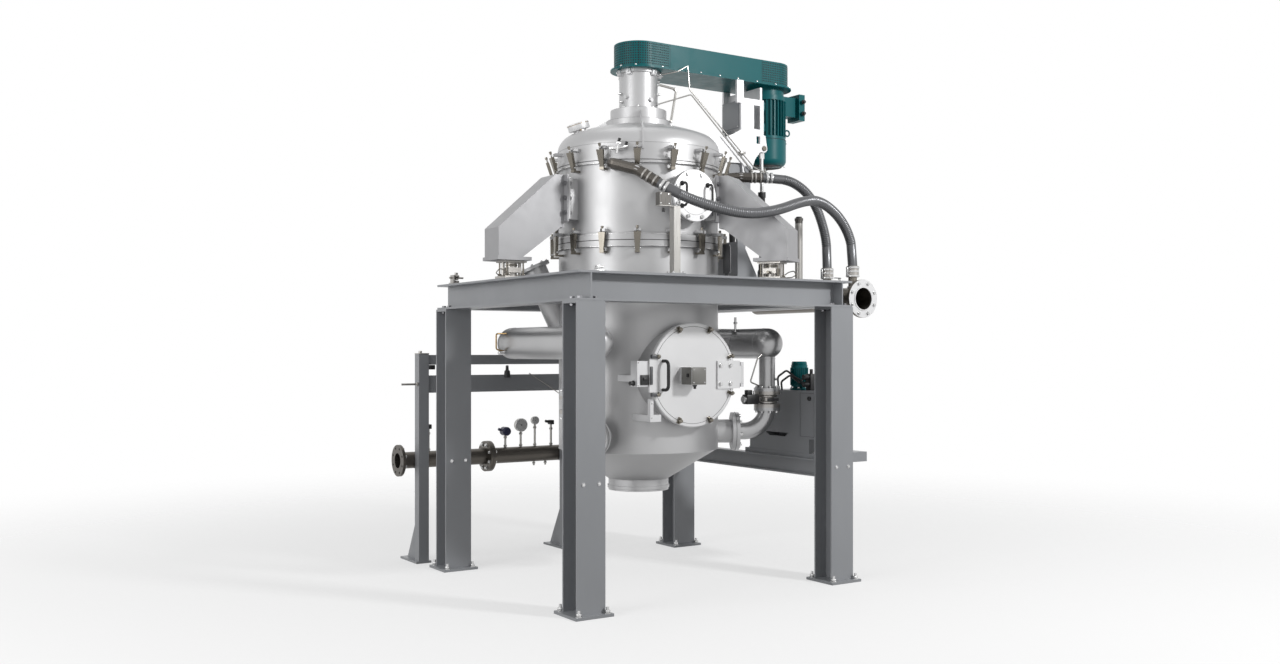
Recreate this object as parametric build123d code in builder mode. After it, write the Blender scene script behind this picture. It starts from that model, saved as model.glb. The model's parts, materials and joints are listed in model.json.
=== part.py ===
"""Loop jet mill with a tilting classifier head, standing on its own steel table frame.

Sizes are in millimetres. X runs along the front, Y to the back and Z up. The origin is on
the floor, in the middle of the four columns and under the axis of the vessel.
"""
import math
import os

from build123d import *

os.makedirs("parts", exist_ok=True)

# Clearances
SEAT_GAP = 0.3            # between curved faces that seat in each other
RUNNING_GAP = 0.05        # radial, in bearings and on hinge pins
HOLE_GAP = 1.0            # radial, round a bolt
SIDE_GAP = 1.0            # beside a hinge lug

# Columns
COLUMN_X = 1011.0
COLUMN_Y = 945.0
COLUMN_WIDTH = 200.0
COLUMN_DEPTH = 176.0
COLUMN_FLANGE = 12.0
COLUMN_WEB = 8.0
FOOT_LENGTH = 266.0
FOOT_WIDTH = 270.0
FOOT_THICK = 18.0
ANCHOR_X = 100.0
ANCHOR_Y = 112.0
ANCHOR_HOLE = 22.0
HEAD_THICK = 16.0

# Table
TABLE_BOTTOM = 1906.0
BEAM_HEIGHT = 182.0
BEAM_WIDTH = 180.0
BEAM_FLANGE = 14.0
BEAM_WEB = 9.0
PEDESTAL_BEAM_X = 820.0
PEDESTAL_BEAM_WIDTH = 120.0
TABLE_TOP = TABLE_BOTTOM + BEAM_HEIGHT
TABLE_MIDDLE = TABLE_BOTTOM + BEAM_HEIGHT / 2

# Bolts of the frame
BOLT = 20.0
BOLT_HEAD = 13.0
BOLT_CORNERS = 34.0
BOLT_X = 55.0
BOLT_Y = 45.0

# Vessel
SHELL = 570.0
WALL = 8.0
OUTLET = 215.0
OUTLET_BOTTOM = 614.0
CONE_BOTTOM = 694.0
CONE_TOP = 910.0
RIM = 592.0
LOWER_RIM_BOTTOM = 2305.0
LOWER_SEAM = 2348.0
LOWER_RIM_TOP = 2392.0
UPPER_SEAM = 2888.0
UPPER_RIM_BOTTOM = UPPER_SEAM - 22.0
LID_BAND_TOP = UPPER_SEAM + 115.0
DOME_TOP = UPPER_SEAM + 328.0
KNUCKLE = 130.0

# Inspection door of the grinding chamber
DOOR_HEIGHT = 1440.0
DOOR = 351.0
DOOR_BACK = 650.0
DOOR_THICK = 30.0
DOOR_NECK = 325.0
DOOR_BORE = 300.0
DOOR_HINGE_X = 402.0
DOOR_PIN = 9.0
DOOR_KNUCKLE = 17.0
DOOR_CLAMPS = 8

# Port in the classifier housing
PORT_RISE = 25.0
PORT_HEIGHT = (LOWER_SEAM + UPPER_SEAM) / 2 + PORT_RISE
PORT_COVER = 173.0
PORT_BACK = 672.0
PORT_THICK = 22.0
PORT_NECK = 140.0
PORT_BORE = 125.0

# Latches
LATCHES = 16
LATCH_RADIUS = 618.0
LATCH_LEAN = 18.0
LOWER_PIVOT = LOWER_SEAM - 58.0
UPPER_PIVOT = UPPER_SEAM - 40.0
LEVER_LENGTH = 108.0
LEVER_TOP = 50.0
LEVER_FOOT = 28.0
LEVER_WALL = 4.0
LATCH_ROD = 5.5
LATCH_KNOB = 9.5
KNOB_HEIGHT = 17.0
ROD_LENGTH = 150.0
LUG_HEIGHT = 18.0
LATCH_GAP = 2.0

# Support arms and load cells
ARM_AZIMUTHS = (180.0, -60.0, 60.0)
ARM_NAMES = ("left", "front", "rear")
PAD_HALF = 150.0
PAD_FACE = 660.0
PAD_BOTTOM = 2500.0
PAD_TOP = 2780.0
ARM_HALF = 105.0
ARM_PLATE = 12.0
ARM_RADIUS = 1050.0
ARM_FOOT_HALF = 115.0
ARM_FOOT_BOTTOM = 2205.0
ARM_FOOT_THICK = 24.0
ARM_BOLT_TANGENT = 128.0

# Air supply
HEADER_X = 805.0
HEADER_Z = 1655.0
HEADER = 109.5
PIPE = 61.0
PIPE_WALL = 5.0
RISER_RADIUS = 930.0
NOZZLE_Z = 1025.0
NOZZLE_FACE = 694.0
FLANGE = 135.0
FLANGE_THICK = 26.0

# Purge air
MANIFOLD_X = 1290.0
MANIFOLD_Z = 1973.0
MANIFOLD = 84.0
HOSE = 70.0

# Head
HINGE_X = 824.0
HINGE_Z = UPPER_SEAM + 57.0
HINGE_PIN = 20.0
HINGE_HEAD = 30.0
PLATE_Y = 205.0
PLATE_THICK = 20.0
LUG_X = 981.0
LUG_Z = UPPER_SEAM + 226.0
LUG = 30.0
GUARD_HALF = 175.0
GUARD_BOTTOM = UPPER_SEAM + 722.0
GUARD_TOP = GUARD_BOTTOM + 177.0
GUARD_WALL = 4.0
GUARD_BASE = 10.0
HOUSING = 138.0
NECK = 201.0
NECK_TOP = UPPER_SEAM + 427.0
MOTOR_X = 1160.0
MOTOR = 163.0
MOTOR_TOP = GUARD_BOTTOM - GUARD_BASE

# Classifier rotor and belt drive
SHAFT = 30.0
WHEEL = 200.0
WHEEL_HEIGHT = 190.0
WHEEL_TOP = UPPER_SEAM - 48.0
WHEEL_BLADES = 24
PULLEY_DRIVEN = 110.0
PULLEY_MOTOR = 90.0
PULLEY_HEIGHT = 70.0
PULLEY_BOTTOM = GUARD_BOTTOM + 40.0
MOTOR_SHAFT = 19.0

# Lift cylinders
LIFT_FOOT_X = 990.0
LIFT_FOOT_Z = 2190.0
LIFT_BARREL = 24.0
LIFT_ROD = 14.0
LIFT_EYE = 20.0
LIFT_Y = PLATE_Y - PLATE_THICK / 2 - SIDE_GAP - LIFT_EYE / 2


def radial_plane(azimuth, radius, height):
    """A plane that faces away from the vessel's axis, its own y axis upright."""
    turn = math.radians(azimuth)
    across = (-math.sin(turn), math.cos(turn), 0)
    outward = (math.cos(turn), math.sin(turn), 0)
    return Plane((radius * outward[0], radius * outward[1], height), across, outward)


def side_plane(azimuth):
    """The upright plane through the vessel's axis at an azimuth, x outward and y up."""
    turn = math.radians(azimuth)
    return Plane((0, 0, 0), (math.cos(turn), math.sin(turn), 0), (math.sin(turn), -math.cos(turn), 0))


def h_profile(width, depth, web, flange):
    """The section of a rolled beam, its flanges at the two ends of its depth."""
    pocket = (width - web) / 2
    Rectangle(width, depth)
    with GridLocations(web + pocket, 0, 2, 1):
        Rectangle(pocket, depth - 2 * flange, mode=Mode.SUBTRACT)


def hexagon_bolt(diameter, grip, head, corners):
    """A bolt and nut along Z, with the head under the grip's lower face at zero."""
    with BuildPart() as bolt:
        with BuildSketch(Plane.XY.offset(-head)):
            RegularPolygon(corners / 2, 6)
        extrude(amount=head)
        with BuildSketch():
            Circle(diameter / 2)
        extrude(amount=grip)
        with BuildSketch(Plane.XY.offset(grip)):
            RegularPolygon(corners / 2, 6)
        extrude(amount=head)
    return bolt.part


# Columns of the frame
def column(x, y):
    """One column with its foot plate and its head plate."""
    with BuildPart() as post:
        with BuildSketch(Plane((x, y, 0))):
            Rectangle(FOOT_LENGTH, FOOT_WIDTH)
            with GridLocations(2 * ANCHOR_X, 2 * ANCHOR_Y, 2, 2):
                Circle(ANCHOR_HOLE / 2, mode=Mode.SUBTRACT)
        extrude(amount=FOOT_THICK)
        with BuildSketch(Plane((x, y, FOOT_THICK))):
            h_profile(COLUMN_WIDTH, COLUMN_DEPTH, COLUMN_WEB, COLUMN_FLANGE)
        extrude(amount=TABLE_BOTTOM - HEAD_THICK - FOOT_THICK)
        with BuildSketch(Plane((x, y, TABLE_BOTTOM - HEAD_THICK))):
            Rectangle(COLUMN_WIDTH, COLUMN_DEPTH)
            with GridLocations(2 * BOLT_X, 2 * BOLT_Y, 2, 2):
                Circle(BOLT / 2 + HOLE_GAP, mode=Mode.SUBTRACT)
        extrude(amount=HEAD_THICK)
    return post.part


for name, side, end in (
    ("front_left", -1, -1),
    ("front_right", 1, -1),
    ("rear_left", -1, 1),
    ("rear_right", 1, 1),
):
    with BuildPart() as frame_column:
        add(column(side * COLUMN_X, end * COLUMN_Y))
    frame_column.part.label = f"column_{name}"
    export_step(frame_column.part, f"parts/column_{name}.step")

# Table: a ring of four rolled beams
with BuildPart() as table_frame:
    with BuildSketch(Plane.XZ.offset(COLUMN_Y + BEAM_WIDTH / 2)):
        with Locations((-COLUMN_X, TABLE_MIDDLE), (COLUMN_X, TABLE_MIDDLE)):
            h_profile(BEAM_WIDTH, BEAM_HEIGHT, BEAM_WEB, BEAM_FLANGE)
    extrude(amount=-(2 * COLUMN_Y + BEAM_WIDTH))
    with BuildSketch(Plane.YZ.offset(-COLUMN_X)):
        with Locations((-COLUMN_Y, TABLE_MIDDLE), (COLUMN_Y, TABLE_MIDDLE)):
            h_profile(BEAM_WIDTH, BEAM_HEIGHT, BEAM_WEB, BEAM_FLANGE)
    extrude(amount=2 * COLUMN_X)
    with BuildSketch(Plane.XZ.offset(COLUMN_Y)):
        with Locations((PEDESTAL_BEAM_X, TABLE_MIDDLE)):
            h_profile(PEDESTAL_BEAM_WIDTH, BEAM_HEIGHT, BEAM_WEB, BEAM_FLANGE)
    extrude(amount=-2 * COLUMN_Y)
    with BuildSketch(Plane.XY.offset(TABLE_BOTTOM)):
        with GridLocations(2 * COLUMN_X, 2 * COLUMN_Y, 2, 2):
            with GridLocations(2 * BOLT_X, 2 * BOLT_Y, 2, 2):
                Circle(BOLT / 2 + HOLE_GAP)
    extrude(amount=BEAM_FLANGE, mode=Mode.SUBTRACT)
table_frame.part.label = "table_frame"
export_step(table_frame.part, "parts/table_frame.step")

# Bolts: the column heads, and the three arms on their pads
arm_grip = ARM_PLATE + 12
arm_bolt_heights = (PAD_BOTTOM + 40, (PAD_BOTTOM + PAD_TOP) / 2, PAD_TOP - 40)
column_bolt = hexagon_bolt(BOLT, HEAD_THICK + BEAM_FLANGE, BOLT_HEAD, BOLT_CORNERS)
arm_bolt = hexagon_bolt(BOLT, arm_grip, BOLT_HEAD, BOLT_CORNERS)
with BuildPart() as frame_bolts:
    with Locations((0, 0, TABLE_BOTTOM - HEAD_THICK)):
        with GridLocations(2 * COLUMN_X, 2 * COLUMN_Y, 2, 2):
            with GridLocations(2 * BOLT_X, 2 * BOLT_Y, 2, 2):
                add(column_bolt)
    for azimuth in ARM_AZIMUTHS:
        with Locations(radial_plane(azimuth, PAD_FACE - 12, 0)):
            with Locations([(s * ARM_BOLT_TANGENT, z, 0) for s in (-1, 1) for z in arm_bolt_heights]):
                add(arm_bolt)
frame_bolts.part.label = "frame_bolts"
export_step(frame_bolts.part, "parts/frame_bolts.step")


def latch_lugs(radius, pivot):
    """The ring of slotted lugs on a shell of this radius, which the latch rods hook over."""
    top = pivot + ROD_LENGTH - KNOB_HEIGHT - LATCH_GAP
    inner = radius - 10
    outer = LATCH_RADIUS + 16
    with BuildPart() as lugs:
        with BuildSketch(Plane.XY.offset(top - LUG_HEIGHT)):
            with PolarLocations((inner + outer) / 2, LATCHES, start_angle=180 / LATCHES):
                Rectangle(outer - inner, LEVER_TOP)
            with PolarLocations(LATCH_RADIUS + 4, LATCHES, start_angle=180 / LATCHES):
                Rectangle(26, 2 * LATCH_ROD + 4, mode=Mode.SUBTRACT)
        extrude(amount=LUG_HEIGHT)
    return lugs.part


# Vessel
def flanged_neck(plane, radius, flange, thickness, length):
    """A solid neck behind the plane with a flange at its end; the caller cuts its bore."""
    with BuildPart() as neck:
        with BuildSketch(plane):
            Circle(flange)
        extrude(amount=-thickness)
        with BuildSketch(plane):
            Circle(radius)
        extrude(amount=-length)
    return neck.part


NOZZLE_AZIMUTHS = (-30.0, 90.0, 210.0)
NOZZLE_BORE = 70.0
NOZZLE_NECK = 84.0
HANGER_Y = 150.0
HANGER_THICK = 20.0
HANGER_HEIGHT = 90.0
CHUTE_AZIMUTH = 150.0
CHUTE = 84.0
CHUTE_TILT = 24.0
CHUTE_RADIUS = 682.0
CHUTE_Z = 2055.0
CHUTE_NECK = 330.0

chamber_outside = (
    (OUTLET, OUTLET_BOTTOM), (OUTLET, CONE_BOTTOM), (SHELL, CONE_TOP), (SHELL, LOWER_RIM_BOTTOM),
    (RIM, LOWER_RIM_BOTTOM), (RIM, LOWER_SEAM),
)
chamber_inside = (
    (OUTLET - WALL, OUTLET_BOTTOM), (OUTLET - WALL, CONE_BOTTOM + WALL / 2),
    (SHELL - WALL, CONE_TOP + WALL / 2), (SHELL - WALL, LOWER_SEAM),
)
door_plane = Plane.XZ.offset(DOOR_BACK)
chute_turn = math.radians(CHUTE_AZIMUTH)
chute_tilt = math.radians(CHUTE_TILT)
chute_plane = Plane(
    (CHUTE_RADIUS * math.cos(chute_turn), CHUTE_RADIUS * math.sin(chute_turn), CHUTE_Z),
    (-math.sin(chute_turn), math.cos(chute_turn), 0),
    (math.cos(chute_turn) * math.sin(chute_tilt), math.sin(chute_turn) * math.sin(chute_tilt),
     math.cos(chute_tilt)),
)
with BuildPart() as grinding_chamber:
    with BuildSketch(Plane.XZ):
        with BuildLine():
            Polyline((0, OUTLET_BOTTOM), *chamber_outside, (0, LOWER_SEAM), close=True)
        make_face()
    revolve(axis=Axis.Z)
    with BuildSketch(door_plane):
        with Locations((0, DOOR_HEIGHT)):
            Circle(DOOR - 4)
    extrude(amount=-32)
    with BuildSketch(door_plane):
        with Locations((0, DOOR_HEIGHT)):
            Circle(DOOR_NECK)
    extrude(amount=-(DOOR_BACK - SHELL / 2))
    for azimuth in NOZZLE_AZIMUTHS:
        add(flanged_neck(radial_plane(azimuth, NOZZLE_FACE, NOZZLE_Z), NOZZLE_NECK, FLANGE,
                         FLANGE_THICK, NOZZLE_FACE - SHELL + 60))
    with BuildSketch(chute_plane):
        Circle(CHUTE)
    extrude(amount=-CHUTE_NECK)
    for side in (-1, 1):
        with BuildSketch(Plane.XY.offset(HEADER_Z - HANGER_HEIGHT / 2)):
            middle = side * (SHELL + HEADER_X) / 2
            with Locations((middle, HANGER_Y), (middle, -HANGER_Y)):
                Rectangle(HEADER_X - SHELL + 60, HANGER_THICK)
        extrude(amount=HANGER_HEIGHT)
        with BuildSketch(Plane.XZ.offset(-2 * HANGER_Y)):
            with Locations((side * HEADER_X, HEADER_Z)):
                Circle(HEADER + SEAT_GAP)
        extrude(amount=4 * HANGER_Y, mode=Mode.SUBTRACT)
        with BuildSketch(Plane.XZ.offset(-2 * HANGER_Y)):
            with Locations((side * (HEADER_X + 100), HEADER_Z)):
                Rectangle(200, 2 * HANGER_HEIGHT)
        extrude(amount=4 * HANGER_Y, mode=Mode.SUBTRACT)
    with BuildSketch(Plane.XZ):
        with BuildLine():
            Polyline((0, OUTLET_BOTTOM), *chamber_inside, (0, LOWER_SEAM), close=True)
        make_face()
    revolve(axis=Axis.Z, mode=Mode.SUBTRACT)
    with BuildSketch(door_plane):
        with Locations((0, DOOR_HEIGHT)):
            Circle(DOOR_BORE)
    extrude(amount=-(DOOR_BACK - SHELL / 2), mode=Mode.SUBTRACT)
    for azimuth in NOZZLE_AZIMUTHS:
        with BuildSketch(radial_plane(azimuth, NOZZLE_FACE, NOZZLE_Z)):
            Circle(NOZZLE_BORE)
        extrude(amount=-(NOZZLE_FACE - SHELL + 60), mode=Mode.SUBTRACT)
    with BuildSketch(chute_plane):
        Circle(CHUTE - PIPE_WALL)
    extrude(amount=-CHUTE_NECK, mode=Mode.SUBTRACT)
grinding_chamber.part.label = "grinding_chamber"
export_step(grinding_chamber.part, "parts/grinding_chamber.step")


def bent_tube(route, radius, bend):
    """A round bar along straight runs with a bend of one radius at each corner."""
    start = Vector(*route[0])
    with BuildPart() as bar:
        with BuildLine() as path:
            FilletPolyline(*route, radius=bend)
        with BuildSketch(Plane(start, z_dir=path.line % 0)):
            Circle(radius)
        sweep(path=path.line)
    return bar.part


# Classifier housing
STUB_Z = UPPER_SEAM - 39.0
STUB_FRONT = (
    (-380, -340, STUB_Z), (-507, -453, STUB_Z), (-393, -586, STUB_Z - 51), (-291, -690, STUB_Z - 142),
)
STUB_REAR = ((500, -215, STUB_Z), (680, -318, STUB_Z + 13), (825, -388, STUB_Z + 13))
STUB_BEND = 62.0
PRODUCT_AZIMUTH = 120.0
PRODUCT_Z = PORT_HEIGHT - 3.0
PRODUCT = 110.0
with BuildPart() as classifier_housing:
    with BuildSketch(Plane.XZ):
        with BuildLine():
            Polyline(
                (0, LOWER_SEAM), (RIM, LOWER_SEAM), (RIM, LOWER_RIM_TOP), (SHELL, LOWER_RIM_TOP),
                (SHELL, UPPER_RIM_BOTTOM), (RIM, UPPER_RIM_BOTTOM), (RIM, UPPER_SEAM), (0, UPPER_SEAM),
                close=True,
            )
        make_face()
    revolve(axis=Axis.Z)
    with BuildSketch(Plane.XZ.offset(PORT_BACK)):
        with Locations((0, PORT_HEIGHT)):
            Circle(PORT_COVER)
    extrude(amount=-PORT_THICK)
    with BuildSketch(Plane.XZ.offset(PORT_BACK)):
        with Locations((0, PORT_HEIGHT)):
            Circle(PORT_NECK)
    extrude(amount=-(PORT_BACK - SHELL + 60))
    for azimuth in ARM_AZIMUTHS:
        with BuildSketch(radial_plane(azimuth, PAD_FACE - 12, (PAD_BOTTOM + PAD_TOP) / 2)):
            Rectangle(2 * (PAD_HALF - 50), PAD_TOP - PAD_BOTTOM)
        extrude(amount=-120)
        with BuildSketch(radial_plane(azimuth, PAD_FACE, (PAD_BOTTOM + PAD_TOP) / 2)):
            Rectangle(2 * PAD_HALF, PAD_TOP - PAD_BOTTOM)
            with Locations([(s * ARM_BOLT_TANGENT, z - (PAD_BOTTOM + PAD_TOP) / 2)
                            for s in (-1, 1) for z in arm_bolt_heights]):
                Circle(BOLT / 2 + HOLE_GAP, mode=Mode.SUBTRACT)
        extrude(amount=-12)
    for route in (STUB_FRONT, STUB_REAR):
        add(bent_tube(route, HOSE / 2, STUB_BEND))
    add(latch_lugs(SHELL, LOWER_PIVOT))
    add(flanged_neck(radial_plane(PRODUCT_AZIMUTH, NOZZLE_FACE, PRODUCT_Z), PRODUCT, FLANGE + 35,
                     FLANGE_THICK, NOZZLE_FACE - SHELL + 40))
    with BuildSketch(Plane.XY.offset(LOWER_SEAM)):
        Circle(SHELL - WALL)
    extrude(amount=UPPER_SEAM - LOWER_SEAM, mode=Mode.SUBTRACT)
    with BuildSketch(Plane.XZ.offset(PORT_BACK)):
        with Locations((0, PORT_HEIGHT)):
            Circle(PORT_BORE)
    extrude(amount=-(PORT_BACK - SHELL + 60), mode=Mode.SUBTRACT)
    with BuildSketch(radial_plane(PRODUCT_AZIMUTH, NOZZLE_FACE, PRODUCT_Z)):
        Circle(PRODUCT - WALL)
    extrude(amount=-(NOZZLE_FACE - SHELL + 60), mode=Mode.SUBTRACT)
    for route in (STUB_FRONT, STUB_REAR):
        add(bent_tube(route, HOSE / 2 - PIPE_WALL, STUB_BEND), mode=Mode.SUBTRACT)
classifier_housing.part.label = "classifier_housing"
export_step(classifier_housing.part, "parts/classifier_housing.step")

# Support arms: folded box arms with a flange to the pad and a foot plate
ARM_ROOT = PAD_FACE + ARM_PLATE
ARM_END = 1165.0
ARM_ROOT_TOP = PAD_TOP + 20.0
ARM_ROOT_BOTTOM = PAD_BOTTOM - 60.0
ARM_END_TOP = 2420.0
ARM_END_BOTTOM = ARM_FOOT_BOTTOM + ARM_FOOT_THICK
arm_outline = (
    (ARM_ROOT, ARM_ROOT_BOTTOM), (ARM_ROOT, ARM_ROOT_TOP), (ARM_ROOT + 63, ARM_ROOT_TOP),
    (ARM_END, ARM_END_TOP), (ARM_END, ARM_END_BOTTOM), (ARM_END - 180, ARM_END_BOTTOM), (ARM_ROOT + 28, ARM_ROOT_BOTTOM),
)
arm_inside = (
    (ARM_ROOT, PAD_BOTTOM), (ARM_ROOT, ARM_ROOT_TOP - ARM_PLATE), (ARM_ROOT + 61, ARM_ROOT_TOP - ARM_PLATE),
    (ARM_END - ARM_PLATE, ARM_END_TOP - 6), (ARM_END - ARM_PLATE, ARM_END_BOTTOM - 79),
    (ARM_END - 165, ARM_END_BOTTOM - 79), (ARM_END - 165, ARM_END_BOTTOM + 31), (ARM_ROOT + 48, PAD_BOTTOM),
)
for azimuth, name in zip(ARM_AZIMUTHS, ARM_NAMES):
    with BuildPart() as support_arm:
        with BuildSketch(side_plane(azimuth)):
            with BuildLine():
                Polyline(*arm_outline, close=True)
            make_face()
        extrude(amount=ARM_HALF, both=True)
        with BuildSketch(side_plane(azimuth)):
            with BuildLine():
                Polyline(*arm_inside, close=True)
            make_face()
        extrude(amount=ARM_HALF - ARM_PLATE, both=True, mode=Mode.SUBTRACT)
        with BuildSketch(radial_plane(azimuth, PAD_FACE, (PAD_BOTTOM + PAD_TOP) / 2)):
            Rectangle(2 * PAD_HALF, PAD_TOP - PAD_BOTTOM + 40)
            with Locations([(s * ARM_BOLT_TANGENT, z - (PAD_BOTTOM + PAD_TOP) / 2)
                            for s in (-1, 1) for z in arm_bolt_heights]):
                Circle(BOLT / 2 + HOLE_GAP, mode=Mode.SUBTRACT)
        extrude(amount=ARM_PLATE)
        foot_x = ARM_RADIUS * math.cos(math.radians(azimuth))
        foot_y = ARM_RADIUS * math.sin(math.radians(azimuth))
        with BuildSketch(Plane((foot_x, foot_y, ARM_FOOT_BOTTOM), side_plane(azimuth).x_dir, (0, 0, 1))):
            Rectangle(2 * ARM_FOOT_HALF + 20, 2 * ARM_FOOT_HALF)
        extrude(amount=ARM_FOOT_THICK)
    support_arm.part.label = f"support_arm_{name}"
    export_step(support_arm.part, f"parts/support_arm_{name}.step")

# Load cells between the arms and the table
CELL = 34.0
CELL_BASE = 14.0
CELL_CAP = 12.0
with BuildPart() as load_cell:
    with BuildSketch(Plane.XY.offset(TABLE_TOP)):
        Rectangle(170, 150)
    extrude(amount=CELL_BASE)
    with BuildSketch(Plane.XY.offset(TABLE_TOP + CELL_BASE)):
        Circle(CELL)
        with Locations((-62, 0), (62, 0)):
            Circle(11)
    extrude(amount=ARM_FOOT_BOTTOM - TABLE_TOP - CELL_BASE - CELL_CAP)
    with BuildSketch(Plane.XY.offset(TABLE_TOP + CELL_BASE + 24)):
        Rectangle(96, 110)
    extrude(amount=34)
    with BuildSketch(Plane.XY.offset(ARM_FOOT_BOTTOM - CELL_CAP)):
        Rectangle(165, 130)
    extrude(amount=CELL_CAP)
with BuildPart() as load_cells:
    for azimuth in ARM_AZIMUTHS:
        turn = math.radians(azimuth)
        spot = (ARM_RADIUS * math.cos(turn) * 0.97, ARM_RADIUS * math.sin(turn) * 0.97, 0)
        with Locations(Plane(spot, side_plane(azimuth).x_dir, (0, 0, 1))):
            add(load_cell.part)
load_cells.part.label = "load_cells"
export_step(load_cells.part, "parts/load_cells.step")

# Quick release latches: a foot on the shell, a tapered channel lever and a rod with a knob
with BuildPart() as latch_lever:
    with BuildSketch(Plane.YZ.offset(-9)):
        with BuildLine():
            Polyline((-LEVER_FOOT / 2, -8), (-LEVER_TOP / 2, LEVER_LENGTH), (LEVER_TOP / 2, LEVER_LENGTH),
                     (LEVER_FOOT / 2, -8), close=True)
        make_face()
    extrude(amount=22)
    with BuildSketch(Plane.YZ.offset(-9)):
        with BuildLine():
            Polyline((-LEVER_FOOT / 2 + LEVER_WALL, 8), (-LEVER_TOP / 2 + LEVER_WALL, LEVER_LENGTH),
                     (LEVER_TOP / 2 - LEVER_WALL, LEVER_LENGTH), (LEVER_FOOT / 2 - LEVER_WALL, 8), close=True)
        make_face()
    extrude(amount=19, mode=Mode.SUBTRACT)
    with BuildSketch():
        Circle(LATCH_ROD)
    extrude(amount=ROD_LENGTH - KNOB_HEIGHT)
    with BuildSketch(Plane.XY.offset(ROD_LENGTH - KNOB_HEIGHT)):
        Circle(LATCH_KNOB)
    extrude(amount=KNOB_HEIGHT)
with BuildPart() as latch_foot:
    with BuildSketch(Plane.XY.offset(-30)):
        with Locations(((SHELL + SEAT_GAP - LATCH_RADIUS + 12) / 2, 0)):
            Rectangle(12 + LATCH_RADIUS - SHELL - SEAT_GAP, 32)
    extrude(amount=14)
    with BuildSketch(Plane.XY.offset(-16)):
        Rectangle(20, LEVER_FOOT)
    extrude(amount=16)


def latch_ring(pivot, lean):
    """All the latches of one seam, their levers leaning out from upright by an angle."""
    with BuildPart() as ring:
        with Locations((0, 0, pivot)):
            with PolarLocations(LATCH_RADIUS, LATCHES, start_angle=180 / LATCHES):
                add(latch_foot.part)
                add(latch_lever.part, rotation=(0, lean, 0))
    return ring.part


for name, pivot, lean in (("upper", UPPER_PIVOT, LATCH_LEAN), ("lower", LOWER_PIVOT, 0)):
    with BuildPart() as seam_latches:
        add(latch_ring(pivot, lean))
    seam_latches.part.label = f"{name}_latches"
    export_step(seam_latches.part, f"parts/{name}_latches.step")

# Port cover with its two bow handles and its bolts
PORT_BOLTS = 8
PORT_BOLT_CIRCLE = 152.0
PORT_BOLT = 16.0
with BuildPart() as port_cover:
    with BuildSketch(Plane.XZ.offset(PORT_BACK)):
        with Locations((0, PORT_HEIGHT)):
            Circle(PORT_COVER)
            with PolarLocations(PORT_BOLT_CIRCLE, PORT_BOLTS, start_angle=180 / PORT_BOLTS):
                Circle(PORT_BOLT / 2 + HOLE_GAP, mode=Mode.SUBTRACT)
    extrude(amount=PORT_THICK)
port_cover.part.label = "port_cover"
export_step(port_cover.part, "parts/port_cover.step")

with BuildPart() as port_bolts:
    with Locations(Plane.XZ.offset(PORT_BACK)):
        with Locations((0, PORT_HEIGHT, 0)):
            with PolarLocations(PORT_BOLT_CIRCLE, PORT_BOLTS, start_angle=180 / PORT_BOLTS):
                Cylinder(PORT_BOLT / 2, PORT_THICK, align=(Align.CENTER, Align.CENTER, Align.MIN))
                with Locations((0, 0, PORT_THICK)):
                    Cylinder(PORT_BOLT * 0.85, 10, align=(Align.CENTER, Align.CENTER, Align.MIN))
port_bolts.part.label = "port_bolts"
export_step(port_bolts.part, "parts/port_bolts.step")


def bow_handle(plane, span, reach, radius):
    """A bent bar on two feet: its span runs along the plane's y axis and it stands off by its reach."""
    bend = 3 * radius
    with BuildPart() as bow:
        with BuildLine(plane) as path:
            FilletPolyline((0, -span / 2, 0), (0, -span / 2, reach), (0, span / 2, reach), (0, span / 2, 0),
                           radius=bend)
        with BuildSketch(plane.shift_origin(plane.from_local_coords((0, -span / 2, 0)))):
            Circle(radius)
        sweep(path=path.line)
    return bow.part


PORT_GRIP_X = 105.0
with BuildPart() as port_handles:
    for side in (-1, 1):
        foot = (side * PORT_GRIP_X, -PORT_BACK - PORT_THICK, PORT_HEIGHT)
        add(bow_handle(Plane(foot, (1, 0, 0), (0, -1, 0)), 150, 55, 8))
port_handles.part.label = "port_handles"
export_step(port_handles.part, "parts/port_handles.step")

# Inspection door
DOOR_FRONT = DOOR_BACK + DOOR_THICK
HINGE_PLATE = 12.0
LAMP_X = -49.0
LAMP_DEPTH = 128.0
TONGUE_X = -340.0
TONGUE_WIDTH = 50.0
with BuildPart() as chamber_door:
    with BuildSketch(door_plane):
        with Locations((0, DOOR_HEIGHT)):
            Circle(DOOR)
    extrude(amount=DOOR_THICK)
    chamfer(chamber_door.faces().sort_by(Axis.Y)[0].edges(), 6)
    with BuildSketch(Plane.XZ.offset(DOOR_FRONT)):
        with Locations((DOOR_HINGE_X - 116, DOOR_HEIGHT)):
            Rectangle(190, 190)
        with Locations((DOOR_HINGE_X - 16, DOOR_HEIGHT)):
            Rectangle(32, 120)
    extrude(amount=HINGE_PLATE)
    with BuildSketch(Plane.XZ.offset(DOOR_FRONT)):
        with Locations((LAMP_X, DOOR_HEIGHT - 4)):
            Rectangle(118, 116)
    extrude(amount=LAMP_DEPTH)
    with BuildSketch(Plane.XZ.offset(DOOR_FRONT)):
        with Locations((TONGUE_X, DOOR_HEIGHT)):
            Rectangle(TONGUE_WIDTH, 220)
    extrude(amount=14)
    with BuildSketch(Plane.XY.offset(DOOR_HEIGHT - 60)):
        with Locations((DOOR_HINGE_X, -DOOR_FRONT + 2)):
            Circle(DOOR_KNUCKLE)
    extrude(amount=120)
    with BuildSketch(Plane.XY.offset(DOOR_HEIGHT - 60)):
        with Locations((DOOR_HINGE_X, -DOOR_FRONT + 2)):
            Circle(DOOR_PIN + RUNNING_GAP)
    extrude(amount=120, mode=Mode.SUBTRACT)
chamber_door.part.label = "chamber_door"
export_step(chamber_door.part, "parts/chamber_door.step")

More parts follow.
